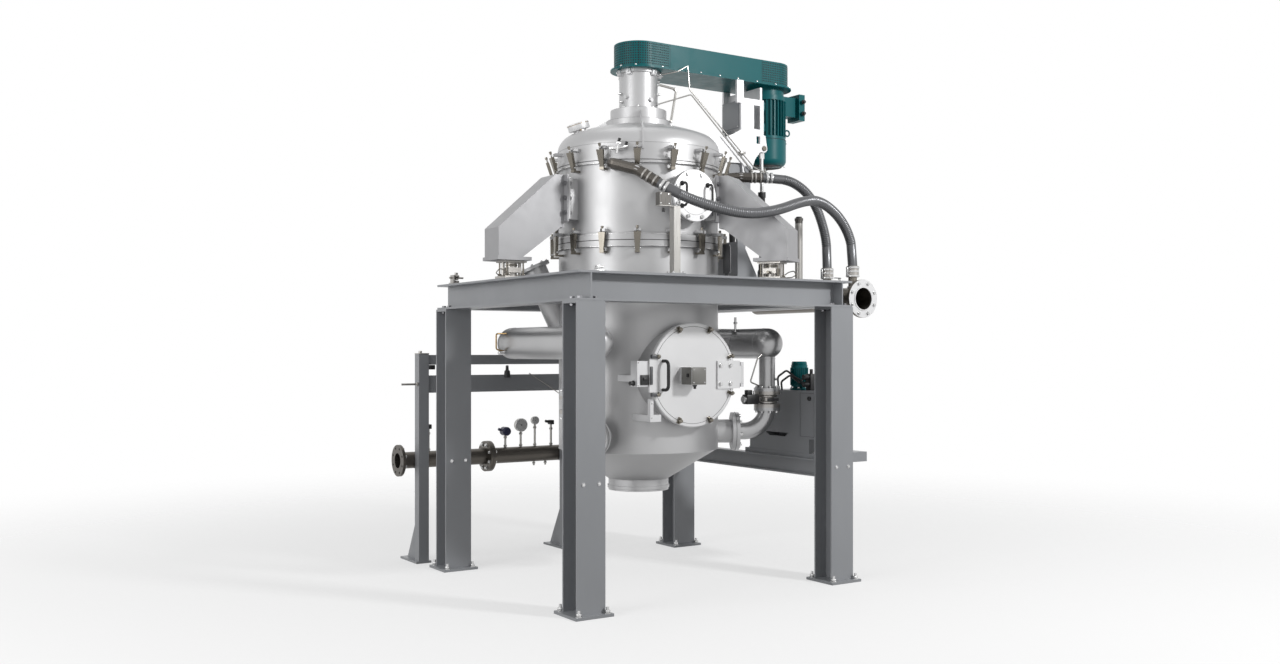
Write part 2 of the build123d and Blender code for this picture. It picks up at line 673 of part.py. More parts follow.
with BuildPart() as door_handle:
    add(bow_handle(Plane((-250, -DOOR_FRONT, DOOR_HEIGHT), (1, 0, 0), (0, -1, 0)), 190, 65, 11))
door_handle.part.label = "door_handle"
export_step(door_handle.part, "parts/door_handle.step")

with BuildPart() as door_clamps:
    with Locations(Plane.XZ.offset(DOOR_FRONT)):
        with Locations((0, DOOR_HEIGHT, 0)):
            with PolarLocations(DOOR - 24, DOOR_CLAMPS, start_angle=22.5):
                Box(44, 20, 12, align=(Align.CENTER, Align.CENTER, Align.MIN))
                with Locations((2, 0, 12)):
                    Cylinder(9, 18, align=(Align.CENTER, Align.CENTER, Align.MIN))
                    Box(34, 10, 14, align=(Align.CENTER, Align.CENTER, Align.MIN))
door_clamps.part.label = "door_clamps"
export_step(door_clamps.part, "parts/door_clamps.step")

with BuildPart() as door_hinge:
    for low in (DOOR_HEIGHT - 60 - SIDE_GAP - 24, DOOR_HEIGHT + 60 + SIDE_GAP):
        with BuildSketch(Plane.XY.offset(low)):
            with BuildLine():
                Polyline((DOOR_HINGE_X - 13, -DOOR_FRONT - 11), (DOOR_HINGE_X + 13, -DOOR_FRONT - 11),
                         (DOOR_HINGE_X + 13, -600), (DOOR_HINGE_X - 13, -600), close=True)
            make_face()
        extrude(amount=24)
    with BuildSketch(Plane.XY.offset(DOOR_HEIGHT - 85)):
        with BuildLine():
            Polyline((DOOR_HINGE_X + 15, -620), (DOOR_HINGE_X + 15, -400), (DOOR_HINGE_X - 8, -400),
                     (DOOR_HINGE_X - 8, -620), close=True)
        make_face()
    extrude(amount=170)
    with BuildSketch(Plane.XY.offset(DOOR_HEIGHT - 85)):
        with Locations((DOOR_HINGE_X, -DOOR_FRONT + 2)):
            Circle(DOOR_PIN)
    extrude(amount=170)
    with BuildSketch(Plane.XY.offset(DOOR_HEIGHT - 200)):
        Circle(SHELL + SEAT_GAP)
    extrude(amount=400, mode=Mode.SUBTRACT)
door_hinge.part.label = "door_hinge"
export_step(door_hinge.part, "parts/door_hinge.step")

# Switch box beside the door, and the stop below it, each on its own stay
SWITCH_X = -406.0
STOP_X = -331.0
with BuildPart() as door_interlock:
    with BuildSketch(Plane.XZ.offset(600)):
        with Locations((SWITCH_X, DOOR_HEIGHT + 12)):
            Rectangle(92, 168)
    extrude(amount=DOOR_FRONT - 600)
    with BuildSketch(Plane.XZ.offset(640)):
        with Locations((STOP_X, DOOR_HEIGHT - 230)):
            Rectangle(26, 150)
        with Locations((STOP_X + 43, DOOR_HEIGHT - 282)):
            Rectangle(62, 46)
    extrude(amount=30)
    for x, top in ((SWITCH_X, DOOR_HEIGHT), (STOP_X, DOOR_HEIGHT - 262)):
        with BuildSketch(Plane.XY.offset(top)):
            with Locations((x, -500)):
                Rectangle(26, 300)
        extrude(amount=-42)
    with BuildSketch(Plane.XY.offset(DOOR_HEIGHT - 350)):
        Circle(SHELL + SEAT_GAP)
    extrude(amount=550, mode=Mode.SUBTRACT)
door_interlock.part.label = "door_interlock"
export_step(door_interlock.part, "parts/door_interlock.step")

# Air headers with their round ends, each with the stub of a riser
HEADER_FRONT = {-1: -740.0, 1: -470.0}
HEADER_BACK = {-1: 394.0, 1: 560.0}
RISER = 58.0
VALVE_FLANGE = 95.0
VALVE_FLANGE_THICK = 24.0
VALVE_TOP = 1312.0
VALVE_BOTTOM = 1196.0
riser_y = -RISER_RADIUS * math.sin(math.radians(30))
for side, name in ((-1, "left"), (1, "right")):
    with BuildPart() as air_header:
        with BuildSketch(Plane.XY.offset(HEADER_Z)):
            with BuildLine():
                x = side * HEADER_X
                front = HEADER_FRONT[side]
                back = HEADER_BACK[side]
                slant = HEADER * math.sqrt(0.5)
                ThreePointArc((x, front - HEADER), (x + slant, front - slant), (x + HEADER, front))
                Line((x + HEADER, front), (x + HEADER, back))
                ThreePointArc((x + HEADER, back), (x + slant, back + slant), (x, back + HEADER))
                Line((x, back + HEADER), (x, front - HEADER))
            make_face()
        revolve(axis=Axis((x, 0, HEADER_Z), (0, 1, 0)))
        with BuildSketch(Plane.XY.offset(VALVE_TOP)):
            with Locations((x, riser_y)):
                Circle(RISER)
        extrude(amount=HEADER_Z - VALVE_TOP)
        with BuildSketch(Plane.XY.offset(VALVE_TOP)):
            with Locations((x, riser_y)):
                Circle(VALVE_FLANGE)
        extrude(amount=VALVE_FLANGE_THICK)
    air_header.part.label = f"air_header_{name}"
    export_step(air_header.part, f"parts/air_header_{name}.step")

# Shut-off valves under the headers
with BuildPart() as air_valves:
    with Locations((-HEADER_X, riser_y, VALVE_BOTTOM), (HEADER_X, riser_y, VALVE_BOTTOM)):
        Cylinder(VALVE_FLANGE, VALVE_FLANGE_THICK, align=(Align.CENTER, Align.CENTER, Align.MIN))
        Cylinder(RISER - 8, VALVE_TOP - VALVE_BOTTOM, align=(Align.CENTER, Align.CENTER, Align.MIN))
        with Locations((0, 0, VALVE_TOP - VALVE_BOTTOM - VALVE_FLANGE_THICK)):
            Cylinder(VALVE_FLANGE, VALVE_FLANGE_THICK, align=(Align.CENTER, Align.CENTER, Align.MIN))
air_valves.part.label = "air_valves"
export_step(air_valves.part, "parts/air_valves.step")

# Pipes to the grinding nozzles
PIPE_BEND = 170.0
REAR_BEND = 205.0


def radial_point(azimuth, radius, height):
    """A point at an azimuth and radius from the vessel's axis."""
    turn = math.radians(azimuth)
    return (radius * math.cos(turn), radius * math.sin(turn), height)


for name, azimuth in (("left", 210), ("right", -30)):
    with BuildPart() as air_pipe:
        route = [
            radial_point(azimuth, NOZZLE_FACE + FLANGE_THICK, NOZZLE_Z),
            radial_point(azimuth, RISER_RADIUS, NOZZLE_Z),
            radial_point(azimuth, RISER_RADIUS, VALVE_BOTTOM),
        ]
        add(bent_tube(route, PIPE, PIPE_BEND))
        with BuildSketch(radial_plane(azimuth, NOZZLE_FACE, NOZZLE_Z)):
            Circle(FLANGE)
        extrude(amount=FLANGE_THICK)
        with BuildSketch(Plane(radial_point(azimuth, RISER_RADIUS, VALVE_BOTTOM))):
            Circle(VALVE_FLANGE)
        extrude(amount=-VALVE_FLANGE_THICK)
    air_pipe.part.label = f"air_pipe_{name}"
    export_step(air_pipe.part, f"parts/air_pipe_{name}.step")

header_end = HEADER_BACK[1] + HEADER
with BuildPart() as air_pipe_rear:
    route = [
        (0, NOZZLE_FACE + FLANGE_THICK, NOZZLE_Z),
        (0, RISER_RADIUS, NOZZLE_Z),
        (0, RISER_RADIUS, HEADER_Z),
        (HEADER_X, RISER_RADIUS, HEADER_Z),
        (HEADER_X, header_end + 4, HEADER_Z),
    ]
    add(bent_tube(route, PIPE, REAR_BEND))
    with BuildSketch(Plane.XZ.offset(-NOZZLE_FACE)):
        with Locations((0, NOZZLE_Z)):
            Circle(FLANGE)
    extrude(amount=-FLANGE_THICK)
    with BuildSketch(Plane.XZ.offset(-header_end)):
        with Locations((HEADER_X, HEADER_Z)):
            Circle(VALVE_FLANGE)
    extrude(amount=-VALVE_FLANGE_THICK)
air_pipe_rear.part.label = "air_pipe_rear"
export_step(air_pipe_rear.part, "parts/air_pipe_rear.step")

# Jet nozzles: inserts in the chamber's three necks
with BuildPart() as grinding_nozzles:
    for azimuth in NOZZLE_AZIMUTHS:
        with Locations(radial_plane(azimuth, NOZZLE_FACE, NOZZLE_Z)):
            with Locations((0, 0, -80)):
                Cylinder(NOZZLE_BORE - SEAT_GAP, 80, align=(Align.CENTER, Align.CENTER, Align.MIN))
            with Locations((0, 0, -190)):
                Cone(16, 34, 110, align=(Align.CENTER, Align.CENTER, Align.MIN))
                Hole(8, 200)
grinding_nozzles.part.label = "grinding_nozzles"
export_step(grinding_nozzles.part, "parts/grinding_nozzles.step")

# Purge air manifold on the right of the table
MANIFOLD_FRONT = -945.0
MANIFOLD_BACK = 250.0
MANIFOLD_FLANGE = 135.5
HOSE_Y_FRONT = -838.0
HOSE_Y_REAR = -567.0
HOSE_END_Z = 2210.0
CLAMP_Z = 2130.0
STUB = 31.0
with BuildPart() as purge_manifold:
    with BuildSketch(Plane.XZ.offset(-MANIFOLD_BACK)):
        with Locations((MANIFOLD_X, MANIFOLD_Z)):
            Circle(MANIFOLD)
    extrude(amount=MANIFOLD_BACK - MANIFOLD_FRONT)
    with BuildSketch(Plane.XZ.offset(-MANIFOLD_FRONT)):
        with Locations((MANIFOLD_X, MANIFOLD_Z)):
            Circle(MANIFOLD_FLANGE)
            with PolarLocations(113, 8, start_angle=22.5):
                Circle(9, mode=Mode.SUBTRACT)
    extrude(amount=-22)
    with Locations((MANIFOLD_X, HOSE_Y_FRONT, MANIFOLD_Z), (MANIFOLD_X, HOSE_Y_REAR, MANIFOLD_Z)):
        Cylinder(STUB, CLAMP_Z - MANIFOLD_Z, align=(Align.CENTER, Align.CENTER, Align.MIN))
    web_face = COLUMN_X + BEAM_WEB / 2
    with Locations((web_face, -700, MANIFOLD_Z), (web_face, 60, MANIFOLD_Z)):
        Box(MANIFOLD_X - web_face, 60, 26, align=(Align.MIN, Align.CENTER, Align.CENTER))
    with BuildSketch(Plane.XZ.offset(-MANIFOLD_FRONT)):
        with Locations((MANIFOLD_X, MANIFOLD_Z)):
            Circle(MANIFOLD - 6)
    extrude(amount=MANIFOLD_FRONT - MANIFOLD_BACK + 8, mode=Mode.SUBTRACT)
purge_manifold.part.label = "purge_manifold"
export_step(purge_manifold.part, "parts/purge_manifold.step")

# Hoses from the housing's stubs to the manifold
FRONT_ROUTE = (
    STUB_FRONT[-1], (-209.4, -773.2, 2634.2), (-20, -893, 2549), (210, -990, 2500), (455, -1008, 2540),
    (699, -965, 2621), (900, -908, 2652), (1100, -862, 2585), (1225, -845, 2475),
    (MANIFOLD_X, HOSE_Y_FRONT, 2340), (MANIFOLD_X, HOSE_Y_FRONT, HOSE_END_Z),
)
REAR_ROUTE = (
    STUB_REAR[-1], (970, -458, STUB_Z + 13), (1110, -505, 2795), (1215, -532, 2670), (1275, -557, 2480),
    (MANIFOLD_X, HOSE_Y_REAR, 2345), (MANIFOLD_X, HOSE_Y_REAR, HOSE_END_Z),
)


def corner_radii(route):
    """The largest bend that each corner's two runs leave room for."""
    radii = []
    for before, corner, after in zip(route, route[1:], route[2:]):
        arriving = Vector(*corner) - Vector(*before)
        leaving = Vector(*after) - Vector(*corner)
        half_turn = math.radians(arriving.get_angle(leaving)) / 2
        radii.append(0.45 * min(arriving.length, leaving.length) / math.tan(half_turn))
    return radii


for name, route in (("front", FRONT_ROUTE), ("rear", REAR_ROUTE)):
    bends = corner_radii(route)
    print(f"hose_{name} bend radii", [round(bend) for bend in bends])
    with BuildPart() as hose:
        with BuildLine() as path:
            FilletPolyline(*route, radius=bends)
        with BuildSketch(Plane(Vector(*route[0]), z_dir=path.line % 0)):
            Circle(HOSE / 2)
        sweep(path=path.line)
    length = sum(edge.length for edge in path.edges())
    section = math.pi * (HOSE / 2) ** 2
    ratio = hose.part.volume / (section * length)
    print(f"hose_{name} length", round(length), "volume ratio", round(ratio, 4))
    hose.part.label = f"hose_{name}"
    export_step(hose.part, f"parts/hose_{name}.step")

with BuildPart() as hose_couplings:
    with Locations((MANIFOLD_X, HOSE_Y_FRONT, CLAMP_Z), (MANIFOLD_X, HOSE_Y_REAR, CLAMP_Z)):
        Cylinder(HOSE / 2 + 9, HOSE_END_Z - CLAMP_Z, align=(Align.CENTER, Align.CENTER, Align.MIN))
hose_couplings.part.label = "hose_couplings"
export_step(hose_couplings.part, "parts/hose_couplings.step")

# Posts for the sensors
POST = 50.0
POST_HEIGHT = 430.0
TUBE = 27.5
TUBE_HEIGHT = 455.0
with BuildPart() as sensor_posts:
    with BuildSketch(Plane((-337, -COLUMN_Y, TABLE_TOP))):
        Rectangle(POST, POST)
        Rectangle(POST - 8, POST - 8, mode=Mode.SUBTRACT)
    extrude(amount=POST_HEIGHT)
    with Locations((-391.5, -COLUMN_Y, TABLE_TOP + POST_HEIGHT)):
        Box(159, POST, 6, align=(Align.CENTER, Align.CENTER, Align.MIN))
    with Locations((-427, -COLUMN_Y, TABLE_TOP + POST_HEIGHT + 6)):
        Box(88, 44, 80, align=(Align.CENTER, Align.CENTER, Align.MIN))
    with BuildSketch(Plane((COLUMN_X, -575, TABLE_TOP))):
        Circle(TUBE)
        Circle(TUBE - 3.5, mode=Mode.SUBTRACT)
    extrude(amount=TUBE_HEIGHT)
    with Locations((COLUMN_X, -575, TABLE_TOP + TUBE_HEIGHT)):
        Cylinder(TUBE + 3.5, 18, align=(Align.CENTER, Align.CENTER, Align.MIN))
sensor_posts.part.label = "sensor_posts"
export_step(sensor_posts.part, "parts/sensor_posts.step")

# Feed chute
CHUTE_LENGTH = 165.0
with BuildPart() as feed_chute:
    with BuildSketch(chute_plane):
        Circle(CHUTE)
    extrude(amount=CHUTE_LENGTH)
    with BuildSketch(chute_plane):
        Circle(CHUTE + 30)
    extrude(amount=16)
    with BuildSketch(chute_plane.offset(CHUTE_LENGTH)):
        Circle(CHUTE + 30)
    extrude(amount=-22)
    with BuildSketch(chute_plane):
        Circle(CHUTE - PIPE_WALL)
    extrude(amount=CHUTE_LENGTH, mode=Mode.SUBTRACT)
feed_chute.part.label = "feed_chute"
export_step(feed_chute.part, "parts/feed_chute.step")

# Supply stand behind the table
STAND_LEFT = -1115.0
STAND_RIGHT = 140.0
STAND_Y = 1290.0
STAND_LEG = 80.0
STAND_TOP = 1578.0
SUPPLY_Y = 1400.0
SUPPLY_Z = 770.0
SUPPLY = 62.5
SUPPLY_END = -1266.0
with BuildPart() as supply_stand:
    for x in (STAND_LEFT, STAND_RIGHT):
        with BuildSketch(Plane((x, STAND_Y, 0))):
            Rectangle(STAND_LEG, STAND_LEG)
        extrude(amount=STAND_TOP)
        with BuildSketch(Plane((x, STAND_Y + 118, 0))):
            Rectangle(120, 317)
        extrude(amount=16)
        with BuildSketch(Plane.YZ.offset(x)):
            with BuildLine():
                Polyline((STAND_Y + 40, 16), (STAND_Y + 260, 16), (STAND_Y + 40, 420), close=True)
            make_face()
        extrude(amount=6, both=True)
        with Locations((x, STAND_Y + 40, SUPPLY_Z - 60)):
            Box(60, SUPPLY_Y - STAND_Y - 40, 60, align=(Align.CENTER, Align.MIN, Align.MIN))
    with BuildSketch(Plane.YZ.offset(STAND_LEFT + STAND_LEG / 2)):
        with Locations((STAND_Y, 1534)):
            Rectangle(60, 74)
        with Locations((STAND_Y, 1350)):
            Rectangle(60, 131)
    extrude(amount=STAND_RIGHT - STAND_LEFT - STAND_LEG)
    with BuildSketch(Plane.YZ.offset(STAND_LEFT - 100)):
        with Locations((SUPPLY_Y, SUPPLY_Z)):
            Circle(SUPPLY + SEAT_GAP)
    extrude(amount=STAND_RIGHT - STAND_LEFT + 200, mode=Mode.SUBTRACT)
supply_stand.part.label = "supply_stand"
export_step(supply_stand.part, "parts/supply_stand.step")

SUPPLY_FLANGE = 120.0
SUPPLY_BACK = 300.0
SUPPLY_JOINT = -539.0
SUPPLY_TEE_X = 430.0
with BuildPart() as supply_pipe:
    with BuildSketch(Plane.YZ.offset(SUPPLY_END)):
        with Locations((SUPPLY_Y, SUPPLY_Z)):
            Circle(SUPPLY)
    extrude(amount=SUPPLY_BACK - SUPPLY_END)
    for start, thick in ((SUPPLY_END, 22), (SUPPLY_JOINT, 46)):
        with BuildSketch(Plane.YZ.offset(start)):
            with Locations((SUPPLY_Y, SUPPLY_Z)):
                Circle(SUPPLY_FLANGE)
                with PolarLocations(SUPPLY_FLANGE - 24, 8, start_angle=22.5):
                    Circle(9, mode=Mode.SUBTRACT)
        extrude(amount=thick)
    route = [
        (SUPPLY_BACK - 60, SUPPLY_Y, SUPPLY_Z),
        (SUPPLY_TEE_X, SUPPLY_Y, SUPPLY_Z),
        (SUPPLY_TEE_X, SUPPLY_Y, HEADER_Z),
        (SUPPLY_TEE_X, RISER_RADIUS + 30, HEADER_Z),
    ]
    add(bent_tube(route, SUPPLY, 120))
    with BuildSketch(Plane.YZ.offset(SUPPLY_END)):
        with Locations((SUPPLY_Y, SUPPLY_Z)):
            Circle(SUPPLY - PIPE_WALL)
    extrude(amount=SUPPLY_BACK - SUPPLY_END - 60, mode=Mode.SUBTRACT)
    with BuildSketch(Plane.YZ.offset(SUPPLY_TEE_X - 100)):
        with Locations((RISER_RADIUS, HEADER_Z)):
            Circle(PIPE + SEAT_GAP)
    extrude(amount=200, mode=Mode.SUBTRACT)
supply_pipe.part.label = "supply_pipe"
export_step(supply_pipe.part, "parts/supply_pipe.step")

# Instruments on the supply pipe: stem height, then the radius and depth of a round dial
INSTRUMENTS = (
    (-1014, 240, 16, 50), (-357, 170, 34, 60), (-219, 205, 52, 30), (-91, 250, 32, 24), (58, 240, 16, 50),
)
with BuildPart() as supply_gauges:
    for x, height, dial, depth in INSTRUMENTS:
        with BuildSketch(Plane((x, SUPPLY_Y, SUPPLY_Z + SUPPLY))):
            Circle(9)
        extrude(amount=height - SUPPLY)
        with BuildSketch(Plane.XZ.offset(-SUPPLY_Y + depth / 2)):
            with Locations((x, SUPPLY_Z + height + dial * 0.6)):
                Circle(dial)
        extrude(amount=-depth)
supply_gauges.part.label = "supply_gauges"
export_step(supply_gauges.part, "parts/supply_gauges.step")

# Hydraulic power unit on its shelf
SHELF_TOP = 840.0
SHELF_BEAM_X = 971.0
TANK_X = 1120.0
TANK_LEFT = 980.0
TANK_RIGHT = 1260.0
TANK_Y = -429.0
TANK_LENGTH = 438.0
TANK_TOP = 1316.0
TRAY = 30.0
BASE_TOP = 1005.0
BASE_FRONT = -722.0
BASE_BACK = -47.0
with BuildPart() as power_unit_shelf:
    between = COLUMN_Y - COLUMN_DEPTH / 2
    with BuildSketch(Plane.XZ.offset(between)):
        with Locations((SHELF_BEAM_X, SHELF_TOP - 60)):
            h_profile(80, 120, 8, 12)
    extrude(amount=-2 * between)
    with Locations((SHELF_BEAM_X + 40, 0, SHELF_TOP - 40)):
        with Locations((0, -790, 0), (0, -150, 0)):
            Box(440, 50, 40, align=(Align.MIN, Align.CENTER, Align.MIN))
    with Locations((SHELF_BEAM_X + 4, -405, SHELF_TOP - 8)):
        Box(476, 820, 8 + TRAY, align=(Align.MIN, Align.CENTER, Align.MIN))
power_unit_shelf.part.label = "power_unit_shelf"
export_step(power_unit_shelf.part, "parts/power_unit_shelf.step")

with BuildPart() as power_unit_tank:
    with Locations((TANK_LEFT, TANK_Y, BASE_TOP)):
        Box(TANK_RIGHT - TANK_LEFT, TANK_LENGTH, TANK_TOP - BASE_TOP,
            align=(Align.MIN, Align.CENTER, Align.MIN))
    fillet(power_unit_tank.edges().filter_by(Axis.Z), 10)
    with Locations((TANK_LEFT - 6, TANK_Y - TANK_LENGTH / 2 + 20, BASE_TOP - 32)):
        Box(TANK_RIGHT - TANK_LEFT, 160, TANK_TOP - BASE_TOP + 32, align=(Align.MIN, Align.MAX, Align.MIN))
    with Locations((TANK_LEFT, (BASE_FRONT + BASE_BACK) / 2, SHELF_TOP + TRAY)):
        Box(TANK_RIGHT - TANK_LEFT + 30, BASE_BACK - BASE_FRONT, BASE_TOP - SHELF_TOP - TRAY,
            align=(Align.MIN, Align.CENTER, Align.MIN))
    with BuildSketch(Plane.YZ.offset(TANK_LEFT - 20)):
        with BuildLine():
            Polyline((-497, BASE_TOP), (-231, BASE_TOP), (-276, BASE_TOP - 28), (-455, BASE_TOP - 28),
                     close=True)
        make_face()
    extrude(amount=120, mode=Mode.SUBTRACT)
power_unit_tank.part.label = "power_unit_tank"
export_step(power_unit_tank.part, "parts/power_unit_tank.step")

with BuildPart() as power_unit_motor:
    with Locations((TANK_X - 15, TANK_Y - 41, TANK_TOP)):
        Cylinder(46, 24, align=(Align.CENTER, Align.CENTER, Align.MIN))
        with Locations((0, 0, 24)):
            Cylinder(60, 160, align=(Align.CENTER, Align.CENTER, Align.MIN))
            Cylinder(52, 184, align=(Align.CENTER, Align.CENTER, Align.MIN))
power_unit_motor.part.label = "power_unit_motor"
export_step(power_unit_motor.part, "parts/power_unit_motor.step")

# Hinge pedestal: two upright plates that stand on the table's second beam, with the hinge pins
PEDESTAL_INNER = 174.0
PEDESTAL_OUTER = 194.0
PEDESTAL_LUG = 44.0
bracket_outer = PLATE_Y + PLATE_THICK / 2
PEDESTAL_BASE = 16.0
PEDESTAL_WAIST = TABLE_TOP + 322.0
pedestal_outline = (
    (748, TABLE_TOP + PEDESTAL_BASE), (929, TABLE_TOP + PEDESTAL_BASE), (929, TABLE_TOP + 74),
    (820, PEDESTAL_WAIST - 49), (HINGE_X + PEDESTAL_LUG, HINGE_Z - 145), (HINGE_X + PEDESTAL_LUG, HINGE_Z),
    (HINGE_X, HINGE_Z + PEDESTAL_LUG), (668, HINGE_Z + PEDESTAL_LUG), (668, HINGE_Z - 145),
    (748, PEDESTAL_WAIST),
)
with BuildPart() as hinge_pedestal:
    for side in (-1, 1):
        with BuildSketch(Plane.XZ.offset(side * PEDESTAL_INNER)):
            with BuildLine():
                Polyline(*pedestal_outline, close=True)
            make_face()
            with Locations((HINGE_X, HINGE_Z)):
                Circle(PEDESTAL_LUG)
        extrude(amount=side * (PEDESTAL_OUTER - PEDESTAL_INNER))
        with BuildSketch(Plane.XZ.offset(side * PEDESTAL_INNER)):
            with Locations((HINGE_X, HINGE_Z)):
                Circle(HINGE_PIN)
        extrude(amount=side * (bracket_outer + SIDE_GAP + 8 - PEDESTAL_INNER))
        with BuildSketch(Plane.XZ.offset(side * (bracket_outer + SIDE_GAP))):
            with Locations((HINGE_X, HINGE_Z)):
                Circle(HINGE_HEAD)
        extrude(amount=side * 8)
    with Locations((748, 0, TABLE_TOP + PEDESTAL_BASE)):
        Box(16, 2 * PEDESTAL_INNER, PEDESTAL_WAIST - TABLE_TOP - PEDESTAL_BASE,
            align=(Align.MIN, Align.CENTER, Align.MIN))
    with Locations((690, 0, HINGE_Z - 65)):
        Box(16, 2 * PEDESTAL_INNER, 240, align=(Align.MIN, Align.CENTER, Align.MAX))
    with Locations((730, 0, TABLE_TOP)):
        Box(200, 2 * PEDESTAL_OUTER + 60, PEDESTAL_BASE, align=(Align.MIN, Align.CENTER, Align.MIN))
hinge_pedestal.part.label = "hinge_pedestal"
export_step(hinge_pedestal.part, "parts/hinge_pedestal.step")

# Lift cylinders: a forked foot carries each barrel, and each rod's eye stands beside a lug of the bracket
LIFT_LEAN = math.degrees(math.atan2(LUG_X - LIFT_FOOT_X, LUG_Z - LIFT_FOOT_Z))
LIFT_LENGTH = math.hypot(LUG_X - LIFT_FOOT_X, LUG_Z - LIFT_FOOT_Z)
BARREL_TOP = 0.649 * LIFT_LENGTH
BARREL_FLOOR = 0.26 * LIFT_LENGTH
ROD_REACH = 0.465 * LIFT_LENGTH
ROD_EYE = 22.0
ROD_NECK = 70.0
FOOT_PIN = 12.0
FOOT_EYE = 26.0
FOOT_EYE_HALF = 14.0
with BuildPart() as lift_foot:
    with Locations((LIFT_FOOT_X, 0, TABLE_TOP)):
        Box(110, 90, 12, align=(Align.CENTER, Align.CENTER, Align.MIN))
    for side in (-1, 1):
        cheek = side * (FOOT_EYE_HALF + SIDE_GAP)
        with BuildSketch(Plane.XZ.offset(cheek)):
            with Locations((LIFT_FOOT_X, (TABLE_TOP + LIFT_FOOT_Z) / 2)):
                Rectangle(2 * FOOT_EYE, LIFT_FOOT_Z - TABLE_TOP)
            with Locations((LIFT_FOOT_X, LIFT_FOOT_Z)):
                Circle(FOOT_EYE)
        extrude(amount=side * 12)
    with BuildSketch(Plane.XZ.offset(-FOOT_EYE_HALF - SIDE_GAP - 12)):
        with Locations((LIFT_FOOT_X, LIFT_FOOT_Z)):
            Circle(FOOT_PIN)
    extrude(amount=2 * (FOOT_EYE_HALF + SIDE_GAP + 12))
lean_x = (math.cos(math.radians(LIFT_LEAN)), 0, -math.sin(math.radians(LIFT_LEAN)))
lean_z = (math.sin(math.radians(LIFT_LEAN)), 0, math.cos(math.radians(LIFT_LEAN)))
with BuildPart() as lift_barrel:
    with BuildSketch(Plane.XZ.offset(-FOOT_EYE_HALF)):
        Circle(FOOT_EYE)
        with Locations((0, FOOT_EYE + 8)):
            Rectangle(2 * FOOT_EYE, 2 * FOOT_EYE)
    extrude(amount=2 * FOOT_EYE_HALF)
    with BuildSketch(Plane.XY.offset(FOOT_EYE + 30)):
        Circle(LIFT_BARREL)
    extrude(amount=BARREL_TOP - FOOT_EYE - 30)
    with BuildSketch(Plane.XY.offset(BARREL_TOP - 40)):
        Circle(LIFT_BARREL + 5)
    extrude(amount=40)
    with BuildSketch(Plane.XZ.offset(-FOOT_EYE_HALF)):
        Circle(FOOT_PIN + RUNNING_GAP)
    extrude(amount=2 * FOOT_EYE_HALF, mode=Mode.SUBTRACT)
    with BuildSketch(Plane.XY.offset(BARREL_FLOOR)):
        Circle(LIFT_ROD + RUNNING_GAP)
    extrude(amount=BARREL_TOP - BARREL_FLOOR, mode=Mode.SUBTRACT)
with BuildPart() as lift_rod:
    with BuildSketch(Plane.XY.offset(LIFT_LENGTH - ROD_REACH)):
        Circle(LIFT_ROD)
    extrude(amount=ROD_REACH - ROD_NECK)
    with BuildSketch(Plane.XZ.offset(-LIFT_EYE / 2)):
        with Locations((0, LIFT_LENGTH)):
            Circle(ROD_EYE)
        with Locations((0, LIFT_LENGTH - 45)):
            Rectangle(36, 60)
        with Locations((0, LIFT_LENGTH)):
            Circle(10, mode=Mode.SUBTRACT)
    extrude(amount=LIFT_EYE)
with BuildPart() as lift_feet:
    with Locations((0, -LIFT_Y, 0), (0, LIFT_Y, 0)):
        add(lift_foot.part)
lift_feet.part.label = "lift_feet"
export_step(lift_feet.part, "parts/lift_feet.step")

for name, piece in (("lift_barrels", lift_barrel), ("lift_rods", lift_rod)):
    with BuildPart() as pair:
        for side in (-1, 1):
            with Locations(Plane((LIFT_FOOT_X, side * LIFT_Y, LIFT_FOOT_Z), lean_x, lean_z)):
                add(piece.part)
    pair.part.label = name
    export_step(pair.part, f"parts/{name}.step")

# Lid of the classifier housing, a dished end with three ribs and a small port
LID = 580.0
CROWN = 1391.0
CROWN_Z = DOME_TOP - CROWN
KNUCKLE_X = LID - KNUCKLE
RING = 231.0
RING_TOP = DOME_TOP + 20.0
BEARING_BORE = 110.0
RIB_AZIMUTHS = (-120.0, 0.0, 120.0)
RIB_OUTLINE = (
    (190, 401), (218, 401), (470, 288), (560, 218), (598, 122), (598, 70), (570, 70), (570, 112), (440, 222),
    (190, 292),
)
PORT_TURN = (-441, 74, 1317)


def dished_outline(offset):
    """Sketch lines of the dished end's half section, moved in from its outside by an offset."""
    knuckle = KNUCKLE - offset
    crown = CROWN - offset
    turn = math.atan2(KNUCKLE_X, LID_BAND_TOP - CROWN_Z)
    tangent = (KNUCKLE_X + knuckle * math.sin(turn), LID_BAND_TOP + knuckle * math.cos(turn))
    half = (math.pi / 2 + turn) / 2
    Line((0, UPPER_SEAM), (LID - offset, UPPER_SEAM))
    Line((LID - offset, UPPER_SEAM), (LID - offset, LID_BAND_TOP))
    ThreePointArc(
        (LID - offset, LID_BAND_TOP),
        (KNUCKLE_X + knuckle * math.sin(half), LID_BAND_TOP + knuckle * math.cos(half)),
        tangent,
    )
    ThreePointArc(
        tangent,
        (crown * math.sin(turn / 2), CROWN_Z + crown * math.cos(turn / 2)),
        (0, CROWN_Z + crown),
    )
    Line((0, CROWN_Z + crown), (0, UPPER_SEAM))


